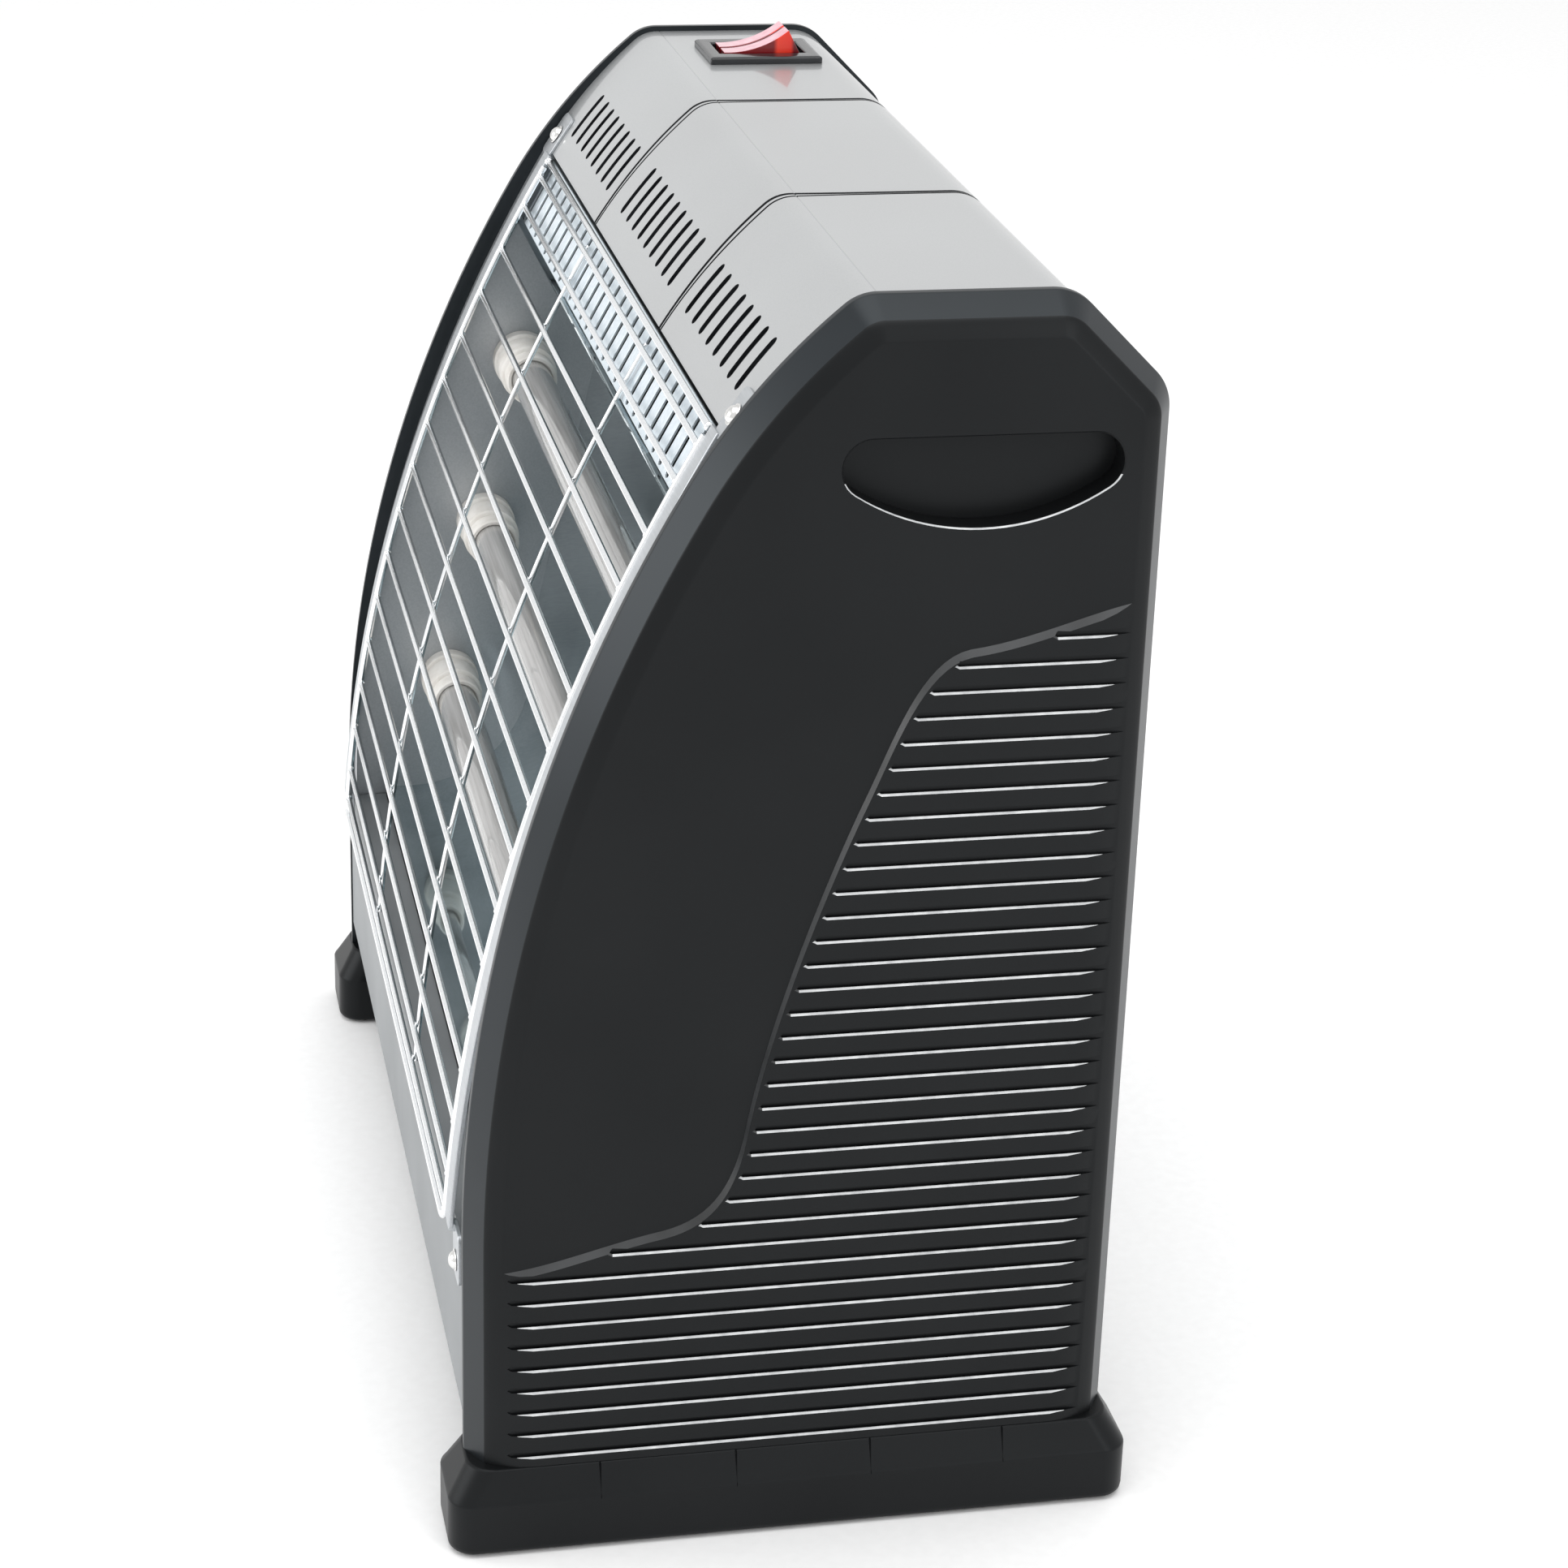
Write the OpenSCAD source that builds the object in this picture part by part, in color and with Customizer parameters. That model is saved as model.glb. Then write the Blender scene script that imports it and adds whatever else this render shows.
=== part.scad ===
// Free-standing electric radiant heater with three quartz tubes behind a wire guard.
// Frame: millimetres, +Z up, the floor at z = 0, the guard faces -Y, x = 0 is the middle.
// Every profile is drawn in the Y-Z plane and runs across the heater along X.

/* [Casing] */
// Clear width between the two side panels
inner_w = 350; // [320:5:400]
// How far a side panel stands out past the sheet metal
panel_t = 15.5; // [14:0.5:20]
// Wall of the moulded parts
wall = 3; // [2.4:0.2:3.4]
// Thickness of the painted sheet steel
sheet_t = 1.2; // [1:0.1:1.4]
// Width of the vent slots in the cover
louvre_w = 3.8; // [1.6:0.2:4.4]

/* [Side panels] */
// Distance between the moulded grooves
groove_pitch = 7.4; // [6.8:0.1:7.6]
// Height of one groove
groove_h = 1.7; // [1.2:0.1:2.2]
// Depth of one groove
groove_d = 1.4; // [1:0.1:1.5]
// Depth of the finger recess
recess_d = 9; // [6:0.5:9.5]

/* [Guard] */
// Wire diameter of the guard's bars
wire_d = 2; // [1.6:0.1:2.4]
// Distance between two cross wires along the guard's curve
wire_pitch = 17.1; // [16.6:0.1:17.3]
// Distance of the two upright wires from the middle
upright_x = 57; // [40:1:80]

/* [Heating] */
// Outer diameter of a quartz tube
tube_d = 14; // [12:0.5:15]
// Wall of a quartz tube
tube_wall = 1.2; // [1:0.1:1.6]
// Outer diameter of the heating coils
coil_d = 7; // [5:0.5:8]
// Wall of the polished reflector
mirror_t = 0.8; // [0.6:0.1:0.9]

/* [Switch] */
// Tilt of the rocker each side of level, in degrees
rocker_tilt = 18; // [12:1:18]
// How far the tip-over pendulum swings each way, in degrees
pendulum_swing = 20; // [10:1:22]

/* [Hidden] */

$fn = 48;
black = "#26282a";
silver = "#b4b6b7";
bright = "#dfe3e6";

half_w = inner_w / 2;

// The outline of a side panel's rim, as arcs about fixed centres, given as [y, z]
front_y = -98;
back_y = 98;
panel_z = 28;
front_r = 459;
front_c = [front_y + front_r, 95];
front_end = 30;
brow_r = 190;
brow_c = front_c + (front_r - brow_r) * [-cos(front_end), sin(front_end)];
brow_end = 50;
fold_r = 14;
fold_c = brow_c + (brow_r - fold_r) * [-cos(brow_end), sin(brow_end)];
top_z = fold_c[1] + fold_r;
rear_r = 15;
// The rear corner is cut at 45 degrees: y + z is constant along it
rear_sum = 448;
rear_top_c = [rear_sum - (top_z - rear_r) - rear_r * sqrt(2), top_z - rear_r];
rear_low_c = [back_y - rear_r, rear_sum - (back_y - rear_r) - rear_r * sqrt(2)];

// Thickness of the thin slices that a moulded skin is stretched over
slice = 0.2;

// Points of an arc. The angle is 0 towards the front, 90 upwards and 180 towards the back.
function at(c, r, a) = [c[0] - r * cos(a), c[1] + r * sin(a)];
function arc(c, r, a0, a1, n) = [for (i = [0:n]) at(c, r, a0 + (a1 - a0) * i / n)];
// Points of a cubic curve
function cubic(p, n) = [for (i = [1:n]) let (t = i / n, s = 1 - t)
    s * s * s * p[0] + 3 * s * s * t * p[1] + 3 * s * t * t * p[2] + t * t * t * p[3]];
// The rim's outline moved inwards by d. A tight corner keeps a radius of at least corner_min.
corner_min = 4;
function outline(d) = let (
    rf = max(fold_r - d, corner_min),
    rr = max(rear_r - d, corner_min),
    fz = top_z - d - rf,
    fy = brow_c[0] - sqrt((brow_r - d - rf) ^ 2 - (fz - brow_c[1]) ^ 2),
    fa = atan2(fz - brow_c[1], brow_c[0] - fy),
    tz = top_z - d - rr,
    ty = rear_sum - (d + rr) * sqrt(2) - tz,
    ly = back_y - d - rr,
    lz = rear_sum - (d + rr) * sqrt(2) - ly)
    concat(
        [[front_y + d, panel_z]],
        arc(front_c, front_r - d, 0, front_end, 8),
        arc(brow_c, brow_r - d, front_end + 4, fa - 2, 4),
        arc([fy, fz], rf, fa, 90, 4),
        arc([ty, tz], rr, 90, 135, 3),
        arc([ly, lz], rr, 135, 180, 3),
        [[back_y - d, panel_z]]);

// The top cover's own curve: it lies deeper below the rims towards its front edge
cover_c = [117.6, 248.5];
cover_r = 167;
cover_low = 32;
cover_end = 48.5;
cover_fold_r = 12;
cover_fold_c = cover_c + (cover_r - cover_fold_r) * [-cos(cover_end), sin(cover_end)];
cover_z = cover_fold_c[1] + cover_fold_r;
cover_inset = top_z - cover_z;

// Side panel section: [x past the sheet metal, distance inwards from the rim]
rim_x = 2.5;
edge_x = 11.5;
panel_section = [[0, 0], [rim_x, 0], [edge_x, 5.1], [13.4, 8.4], [14.8, 12.4], [panel_t, 16.5]];
smooth_drop = 1.3;
groove_z0 = 31;
groove_n = 34;
groove_front = -81;
groove_back = 81;
recess_c = [43.4, 0];
recess_top = 341.3;
recess_low = 315.2;
recess_half = 39.3;
recess_end_r = 8.5;
recess_end_x = recess_half - recess_end_r;
recess_end_z = recess_top - recess_end_r;
recess_gap = recess_end_z - recess_low;
// Radius of the recess's long lower arc, which runs into both end arcs
recess_r = (recess_end_x ^ 2 + recess_gap ^ 2 - recess_end_r ^ 2) / (2 * (recess_gap - recess_end_r));
recess_arc_z = recess_low + recess_r;
recess_a = atan2(recess_arc_z - recess_end_z, recess_end_x);

// Feet
foot_half_l = 104;
foot_in = 161;
foot_out = half_w + panel_t + 4;
foot_h = 18;
foot_corner = 8;
pad_d = 14;
pad_y = 88;
pad_x = (foot_in + foot_out) / 2;

// Guard curve, as an arc in the Y-Z plane
guard_c = [460.3, 54.1];
guard_r = 562.1;
wire_step = wire_pitch / guard_r * 180 / PI;
first_wire = 28.24;
wire_n = 14;
top_wires = [29.45, 30.05];
low_wire = 4.4;
frame_low = 3.87;
frame_x = 155.6;
frame_d = 2.4;
frame_r = 8;
strip_in = frame_x + frame_d / 2;
strip_out = 165.4;
strip_low = 4.3;
strip_top = 30.2;
upright_d = 1.8;
tab_in = 160;
tab_out = 173;
guard_screw_x = 166.2;
guard_screw_a = 34;
guard_screw_z = 86;

// Sheet metal
bottom_z = 37;
rear_z = rear_low_c[1];
rear_face = back_y - cover_inset;
lower_face = front_y + 0.5;
lower_top = 95;
seam_x = 62.5;

// Heating chamber
plate_x = 163;
plate_t = 1.2;
plate_out = plate_x + plate_t;
// The flange follows the guard's curve above flange_split degrees, and the rim's curve below
flange_r = guard_r - 1.2;
flange_gap = 1.8;
flange_split = 8.9;
flange_join = 5.77;
lug_r = cover_r - sheet_t - 0.15;
tube_z = [262, 201.5, 141];
tube_lean = 0.2231;
tube_y0 = -34.5;
mirror_gap = 27;
tube_half = 148;
cap_d = 20;
pin_d = 2.5;
pin_x = 170;
lean_a = atan(tube_lean);
function tube_y(z) = tube_y0 - (tube_z[0] - z) * tube_lean;
mirror_low_r = 45;
mirror_low_z = 142.5;
mirror_top_r = 25;
mirror_top_z = 288;
function mirror_y(z) = tube_y(z) + mirror_gap;
// Centre of a bend of radius r whose middle lies at height z, tangent to the flat back
function bend_c(r, z) = [mirror_y(z + r * sin(lean_a)) - r * cos(lean_a), z];
canopy_r = guard_r - 3.2;
canopy_low = 27.55;
canopy_top = 30.05;
canopy_slots = 28;
canopy_pitch = 11.6;

// Switch
switch_x = -134;
switch_y = 43.3;
bezel = [32, 38.8, 2.4];
switch_body = [24, 32, 22];
rocker_w = 17;
rocker_axis_z = cover_z - 0.8;
well = [17.8, 29.2];
well_floor = rocker_axis_z - 10.6;
rocker_pin_d = 2.4;
running = 0.05;

// Tip-over switch
tilt_pos = [100, 62, bottom_z + sheet_t];
tilt_box = [30, 34, 40];
tilt_wall = 1.6;
tilt_axis_h = 31;
tilt_arm = 19;

// Mains inlet and terminals
gland_pos = [-120, back_y - cover_inset, 62];
gland_bore = 7.2;
gland_l = 16;
block_pos = [-60, 60, bottom_z + sheet_t];
block = [34, 18, 15];

// Fasteners
rear_screw_x = 159;
rear_screw_z = [80, 200, 320];
panel_screws_at = [[60, 90], [66, 300], [-62, 80], [8, 340]];
foot_screw_y = 60;
foot_screw_x = 183;

// ---------- helpers ----------

// Runs a Y-Z profile along X from x0 to x1
module along_x(x0, x1) {
    translate([x0, 0, 0])
        rotate([90, 0, 90])
            linear_extrude(x1 - x0)
                children();
}

// A curved band about a centre in the Y-Z plane
module band(x0, x1, c, r0, r1, a0, a1) {
    translate([0, c[0], c[1]])
        rotate([90, 0, -90])
            rotate([0, 0, a0])
                rotate_extrude(angle = a1 - a0, $fn = 360)
                    translate([r0, -x1])
                        square([r1 - r0, x1 - x0]);
}

// A curved wire about a centre in the Y-Z plane
module bent_wire(x, c, r, a0, a1, d) {
    translate([0, c[0], c[1]])
        rotate([90, 0, -90])
            rotate([0, 0, a0])
                rotate_extrude(angle = a1 - a0, $fn = 360)
                    translate([r, -x])
                        circle(d = d, $fn = 24);
}

module rod_x(x0, x1, y, z, d) {
    translate([x0, y, z])
        rotate([0, 90, 0])
            cylinder(h = x1 - x0, d = d);
}

module rod_y(x, y0, y1, z, d) {
    translate([x, y1, z])
        rotate([90, 0, 0])
            cylinder(h = y1 - y0, d = d);
}

module box(low, high) {
    translate(low)
        cube(high - low);
}

// Mirrors a right-hand part to the left
module left() {
    mirror([1, 0, 0])
        children();
}

module both_sides() {
    children();
    left()
        children();
}

// A place on an arc in the Y-Z plane, with local Z pointing outwards from the arc
module on_arc(x, c, r, a) {
    translate([x, at(c, r, a)[0], at(c, r, a)[1]])
        rotate([90 - a, 0, 0])
            children();
}

// A pan-head screw: head above z = 0, shank below
module screw(head_d, head_h, shank_d, shank_l) {
    intersection() {
        cylinder(h = head_h, d = head_d);
        translate([0, 0, head_h - head_d])
            sphere(r = head_d, $fn = 48);
    }
    translate([0, 0, -shank_l])
        cylinder(h = shank_l + 0.2, d = shank_d);
}

// ---------- side panels and feet ----------

// The S-shaped step between the raised, grooved field and the plain upper field
function s_curve() = concat(
    [[110, 292.5], [98, 292.5]],
    cubic([[98, 292.5], [84, 293.5], [64, 282.5], [42, 280]], 5),
    cubic([[42, 280], [28, 277.5], [21, 253], [14, 237]], 5),
    cubic([[14, 237], [5, 216], [-11, 172], [-17, 138]], 4),
    cubic([[-17, 138], [-20, 118], [-26, 107], [-41, 103.8]], 5),
    cubic([[-41, 103.8], [-62, 100], [-76, 93], [-98, 93]], 5),
    [[-110, 93]]);

module plain_field() {
    polygon(concat(s_curve(), [[-110, 400], [110, 400]]));
}

module recess_outline() {
    polygon(concat(
        arc([recess_c[0] + recess_end_x, recess_end_z], recess_end_r, 90, 180 + recess_a, 8),
        arc([recess_c[0], recess_arc_z], recess_r, 180 + recess_a, 360 - recess_a, 14),
        arc([recess_c[0] - recess_end_x, recess_end_z], recess_end_r, -recess_a, 90, 8)));
}

// The moulded skin, lofted through the section's rows
module panel_skin() {
    n = len(outline(0));
    rows = len(panel_section);
    points = [for (row = panel_section, p = outline(row[1])) [half_w + row[0], p[0], p[1]]];
    sides = [for (i = [0:rows - 2], j = [0:n - 1], half = [0, 1])
        let (a = i * n + j, b = i * n + (j + 1) % n, c = b + n, d = a + n)
        half == 0 ? [a, b, c] : [a, c, d]];
    inner_cap = [for (j = [n - 1:-1:0]) j];
    outer_cap = [for (j = [0:n - 1]) (rows - 1) * n + j];
    polyhedron(points, concat([inner_cap], sides, [outer_cap]));
}

// The hollow behind the skin, as steps of [depth, distance inwards from the rim]
module panel_hollow() {
    for (step = [[rim_x, wall], [7, wall + 3.2], [panel_t - smooth_drop - wall, wall + 12.5]])
        intersection() {
            along_x(half_w - 1, half_w + step[0])
                polygon(outline(step[1]));
            box([half_w - 2, -120, panel_z + wall], [half_w + 30, 120, 400]);
        }
}

module panel_boss(at_yz) {
    rod_x(plate_out, half_w + panel_t - smooth_drop - 1.5, at_yz[0], at_yz[1], 9);
}

module side_panel() {
    color(black)
        difference() {
            union() {
                difference() {
                    panel_skin();
                    panel_hollow();
                    along_x(half_w + panel_t - smooth_drop, half_w + panel_t + 2)
                        plain_field();
                }
                // The recess's moulded pocket
                along_x(half_w + panel_t - smooth_drop - recess_d - 2, half_w + panel_t - smooth_drop - 1)
                    recess_pocket();
                for (p = panel_screws_at)
                    panel_boss(p);
            }
            along_x(half_w + panel_t - smooth_drop - recess_d, half_w + panel_t + 2)
                recess_outline();
            for (i = [0:groove_n - 1])
                groove(groove_z0 + i * groove_pitch);
            for (p = panel_screws_at)
                rod_x(plate_x, plate_out + 14, p[0], p[1], 3);
            for (s = [-1, 1])
                translate([foot_screw_x, s * foot_screw_y, panel_z - 1])
                    cylinder(h = wall + 2, d = 4);
        }
}

// The pocket's outer wall, around the finger recess
module recess_pocket() {
    polygon(concat(
        arc([recess_c[0] + recess_end_x, recess_end_z], recess_end_r + 2, 90, 180 + recess_a, 8),
        arc([recess_c[0], recess_arc_z], recess_r + 2, 180 + recess_a, 360 - recess_a, 14),
        arc([recess_c[0] - recess_end_x, recess_end_z], recess_end_r + 2, -recess_a, 90, 8)));
}

// Where the S-shaped step crosses height z, as the y just behind it
function step_y(z) = let (s = s_curve())
    z < 93 ? groove_front : max([for (i = [0:len(s) - 2]) let (a = s[i], b = s[i + 1])
        if ((a[1] - z) * (b[1] - z) <= 0 && a[1] != b[1])
            a[0] + (b[0] - a[0]) * (z - a[1]) / (b[1] - a[1])]);

module groove(z) {
    y0 = max(groove_front, step_y(z) + 6, step_y(z + groove_h) + 6);
    box([half_w + panel_t - groove_d, y0, z], [half_w + panel_t + 1, groove_back, z + groove_h]);
}

// A thin slice of the foot's plan: shrink moves its sides inwards
module foot_slice(z, in_x, out_x, half_l) {
    for (x = [in_x + foot_corner, out_x - foot_corner], s = [-1, 1])
        translate([x, s * (half_l - foot_corner), z])
            cylinder(h = slice, r = foot_corner, $fn = 32);
}

module foot_body(inwards, z0) {
    hull() {
        foot_slice(z0, foot_in + 1.5 + inwards, foot_out - 1.5 - inwards, foot_half_l - 1.5 - inwards);
        foot_slice(z0 + 3, foot_in + inwards, foot_out - inwards, foot_half_l - inwards);
        foot_slice(foot_h, foot_in + inwards, foot_out - inwards, foot_half_l - inwards);
        foot_slice(panel_z - slice - inwards, foot_in + 4 + inwards, half_w + panel_t - inwards,
            foot_half_l - 6 - inwards);
    }
}

module foot() {
    color(black)
        difference() {
            union() {
                difference() {
                    foot_body(0, 1);
                    foot_body(wall, 0.5);
                }
                for (s = [-1, 1])
                    translate([pad_x, s * pad_y, 2])
                        cylinder(h = panel_z - 5, d = pad_d + 5);
            }
            for (s = [-1, 1]) {
                translate([pad_x, s * pad_y, -1])
                    cylinder(h = 4, d = pad_d);
                translate([foot_screw_x, s * foot_screw_y, 10])
                    cylinder(h = 30, d = 4);
            }
        }
}

module foot_pads() {
    color("#1b1b1c")
        both_sides()
            for (s = [-1, 1])
                translate([pad_x, s * pad_y, 0])
                    cylinder(h = 3, d = pad_d);
}

// ---------- sheet metal ----------

// The cover's curve, moved inwards by d
function cover_line(d) = concat(
    arc(cover_c, cover_r - d, cover_low, cover_end, 8),
    arc(cover_fold_c, cover_fold_r - d, cover_end + 8.3, 90, 4),
    arc(rear_top_c, rear_r - cover_inset - d, 90, 135, 3),
    arc(rear_low_c, rear_r - cover_inset - d, 135, 180, 3));

// A closed outline between two open lines
function ribbon(a, b) = concat(a, [for (i = [len(b) - 1:-1:0]) b[i]]);

module cover_sheet(x0, x1, d0, d1) {
    along_x(x0, x1)
        polygon(ribbon(cover_line(d0), cover_line(d1)));
}

module louvre(x) {
    slot_l = 18.4;
    on_arc(x, cover_c, cover_r, 38.45) {
        translate([-louvre_w / 2, -(slot_l - louvre_w) / 2, -4])
            cube([louvre_w, slot_l - louvre_w, 8]);
        for (s = [-1, 1])
            translate([0, s * (slot_l - louvre_w) / 2, -4])
                cylinder(h = 8, d = louvre_w, $fn = 24);
    }
}

module louvres() {
    louvre_pitch = 11;
    for (i = [-4:4])
        louvre(i * louvre_pitch);
    for (i = [0:7], s = [-1, 1])
        louvre(s * (74.6 + i * louvre_pitch));
}

module top_cover() {
    groove_w = 1.6;
    groove_depth = 0.4;
    color(silver)
        difference() {
            cover_sheet(-half_w, half_w, 0, sheet_t);
            louvres();
            for (s = [-1, 1])
                cover_sheet(s * seam_x - groove_w / 2, s * seam_x + groove_w / 2, -1, groove_depth);
            translate([switch_x - switch_body[0] / 2, switch_y - switch_body[1] / 2, cover_z - 5])
                cube([switch_body[0], switch_body[1], 10]);
            both_sides()
                on_arc(guard_screw_x, cover_c, cover_r, guard_screw_a)
                    translate([0, 0, -5])
                        cylinder(h = 10, d = 3);
        }
}

module vent_row(z, slots, pitch, length) {
    for (i = [0:slots - 1])
        translate([(i - (slots - 1) / 2) * pitch, rear_face - 5, z]) {
            translate([-1.5, 0, -length / 2])
                cube([3, 10, length]);
            for (s = [-1, 1])
                translate([0, 10, s * length / 2])
                    rotate([90, 0, 0])
                        cylinder(h = 10, d = 3, $fn = 24);
        }
}

module rear_cover() {
    color(silver)
        difference() {
            box([-half_w, rear_face - sheet_t, bottom_z], [half_w, rear_face, rear_z]);
            vent_row(318, 24, 11.5, 22);
            vent_row(282, 24, 11.5, 22);
            vent_row(110, 24, 11.5, 22);
            translate([gland_pos[0], 0, gland_pos[2]])
                rod_y(0, rear_face - 3, rear_face + 3, 0, 12);
            for (s = [-1, 1], z = rear_screw_z)
                rod_y(s * rear_screw_x, rear_face - 3, rear_face + 3, z, 3);
        }
}

module lower_front_panel() {
    lip = 12;
    lip_half = plate_x - 0.4;
    color(silver)
        difference() {
            union() {
                box([-half_w, lower_face, bottom_z], [half_w, lower_face + sheet_t, lower_top]);
                box([-lip_half, lower_face, lower_top - sheet_t], [lip_half, lower_face + lip, lower_top]);
            }
            both_sides()
                rod_y(guard_screw_x, lower_face - 5, lower_face + 5, guard_screw_z, 3);
        }
}

module bottom_plate() {
    color("#8d9092")
        difference() {
            box([-half_w, lower_face + sheet_t, bottom_z], [half_w, rear_face - sheet_t, bottom_z + sheet_t]);
            for (i = [-10:10], y = [-40, 10])
                translate([i * 14 - 2, y, bottom_z - 1])
                    cube([4, 26, 4]);
        }
}

// ---------- heating chamber ----------

// The bright flange's curve: along the rim low down, then along the guard
function flange_line(d) = concat(
    [[front_y + flange_gap + d, bottom_z + 2 * sheet_t]],
    arc(front_c, front_r - flange_gap - d, 0, flange_join - 1, 3),
    arc(guard_c, flange_r - d, flange_split, strip_top, 12));

// The end plate's face, inside the casing and behind the guard
module plate_face() {
    gap = 0.4;
    e = cover_inset + sheet_t + gap;
    polygon(concat(
        flange_line(0),
        arc(cover_c, cover_r - sheet_t - gap, cover_low + 0.5, cover_end, 8),
        arc(cover_fold_c, cover_fold_r - sheet_t - gap, cover_end + 8.3, 90, 4),
        arc(rear_top_c, rear_r - e, 90, 135, 3),
        arc(rear_low_c, rear_r - e, 135, 180, 3),
        [[back_y - e, bottom_z + 2 * sheet_t]]));
}

module end_plate() {
    color(bright)
        difference() {
            union() {
                along_x(plate_x, plate_out)
                    plate_face();
                along_x(plate_x, half_w)
                    polygon(ribbon(flange_line(0), flange_line(plate_t)));
                // The lug behind the cover's front corner
                along_x(plate_x, half_w)
                    polygon(ribbon(arc(cover_c, lug_r, cover_low + 0.8, cover_low + 7, 4),
                        arc(cover_c, lug_r - plate_t, cover_low + 0.8, cover_low + 7, 4)));
                // The rear flange, behind the rear cover
                box([rear_screw_x - 6, rear_face - 2 * sheet_t, 60], [plate_out, rear_face - sheet_t, 335]);
            }
            for (z = tube_z)
                rod_x(plate_x - 2, plate_out + 2, tube_y(z), z, cap_d - 4);
            for (p = panel_screws_at)
                rod_x(plate_x - 2, plate_out + 2, p[0], p[1], 3);
            for (z = rear_screw_z)
                rod_y(rear_screw_x, rear_face - 4, rear_face, z, 3);
            on_arc(guard_screw_x, cover_c, cover_r, guard_screw_a)
                translate([0, 0, -5])
                    cylinder(h = 10, d = 3);
            rod_y(guard_screw_x, lower_face - 5, lower_face + 5, guard_screw_z, 3);
            for (yz = [[70, 330], [70, 150]])
                rod_x(plate_x - 2, plate_out + 2, yz[0], yz[1], 8);
        }
}

// The reflector's section: a leaning flat back between two bends, with a lip at each end
module mirror_section() {
    low_c = bend_c(mirror_low_r, mirror_low_z);
    top_c = bend_c(mirror_top_r, mirror_top_z);
    lip_front = lower_face + 12.2;
    roof_front = at(guard_c, canopy_r - mirror_t, canopy_low + 0.35)[0];
    inner = concat(
        [[lip_front, low_c[1] - mirror_low_r]],
        arc(low_c, mirror_low_r, 270, 180 - lean_a, 18),
        arc(top_c, mirror_top_r, 180 - lean_a, 90, 14),
        [[roof_front, top_c[1] + mirror_top_r]]);
    outer = concat(
        [[lip_front, low_c[1] - mirror_low_r - mirror_t]],
        arc(low_c, mirror_low_r + mirror_t, 270, 180 - lean_a, 18),
        arc(top_c, mirror_top_r + mirror_t, 180 - lean_a, 90, 14),
        [[roof_front, top_c[1] + mirror_top_r + mirror_t]]);
    polygon(concat(inner, [for (i = [len(outer) - 1:-1:0]) outer[i]]));
}

module reflector() {
    color(bright)
        along_x(-plate_x, plate_x)
            mirror_section();
}

module reflector_canopy() {
    slot_l = 20;
    color(bright)
        difference() {
            band(-plate_x, plate_x, guard_c, canopy_r - mirror_t, canopy_r, canopy_low, canopy_top);
            for (i = [0:canopy_slots - 1])
                on_arc((i - (canopy_slots - 1) / 2) * canopy_pitch, guard_c, canopy_r,
                    (canopy_low + canopy_top) / 2)
                    translate([-1.5, -slot_l / 2, -3])
                        cube([3, slot_l, 6]);
        }
}

module quartz_tube(i) {
    color("#c9c7c4", 0.55)
        difference() {
            rod_x(-tube_half, tube_half, tube_y(tube_z[i]), tube_z[i], tube_d);
            rod_x(-tube_half - 1, tube_half + 1, tube_y(tube_z[i]), tube_z[i], tube_d - 2 * tube_wall);
        }
}

module heating_coil(i) {
    color("#6f6a66")
        difference() {
            rod_x(-tube_half + 10, tube_half - 10, tube_y(tube_z[i]), tube_z[i], coil_d);
            rod_x(-tube_half + 9, tube_half - 9, tube_y(tube_z[i]), tube_z[i], coil_d - 2);
        }
}

// A turned ceramic cap: ring, groove, body, groove, collar, and a spigot through the plate
module ceramic_cap(y, z) {
    step = [[135, 141.5, 18], [141.5, 143, 16.8], [143, 155.5, cap_d], [155.5, 157, 16.8],
        [157, plate_x, cap_d + 1], [plate_x, plate_x + 4, cap_d - 4.2]];
    difference() {
        for (s = step)
            rod_x(s[0] - 0.01, s[1], y, z, s[2]);
        rod_x(134, tube_half + 0.2, y, z, tube_d + 0.1);
        rod_x(tube_half, plate_x + 6, y, z, pin_d);
    }
}

module ceramic_caps() {
    color("#dcd8d2")
        for (z = tube_z)
            ceramic_cap(tube_y(z), z);
}

module contact_pins() {
    color("#c8a24a")
        for (z = tube_z)
            rod_x(tube_half - 10, pin_x, tube_y(z), z, pin_d);
}

// ---------- guard ----------

module guard_strip() {
    color(bright)
        difference() {
            union() {
                band(strip_in, strip_out, guard_c, guard_r - 1.1, guard_r + 0.5, strip_low, strip_top);
                band(tab_in, tab_out, cover_c, cover_r + 0.05, cover_r + 1, cover_low - 0.7, cover_low + 4.8);
                // The joggled lower tab, in front of the lower panel
                box([tab_in, lower_face - 1.2, 80], [tab_out, lower_face, 97]);
                box([tab_in, lower_face - 3.1, 94.5], [strip_out, lower_face, 97]);
            }
            on_arc(guard_screw_x, cover_c, cover_r, guard_screw_a)
                translate([0, 0, -5])
                    cylinder(h = 10, d = 3);
            rod_y(guard_screw_x, lower_face - 5, lower_face + 5, guard_screw_z, 3);
        }
}

module guard_frame_wire() {
    low = at(guard_c, guard_r, frame_low);
    corner_a = frame_r / guard_r * 180 / PI;
    low_half = frame_x - frame_r + 0.4;
    color(bright) {
        both_sides() {
            bent_wire(frame_x, guard_c, guard_r, frame_low + corner_a, strip_top - 0.4, frame_d);
            on_arc(frame_x - frame_r, guard_c, guard_r, frame_low + corner_a)
                rotate([0, 0, -90])
                    rotate_extrude(angle = 90)
                        translate([frame_r, 0])
                            circle(d = frame_d, $fn = 24);
        }
        rod_x(-low_half, low_half, low[0], low[1] + 0.03, frame_d);
    }
}

module cross_wire(a, end_x) {
    p = at(guard_c, guard_r, a);
    rod_x(-end_x, end_x, p[0], p[1], wire_d);
}

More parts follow.
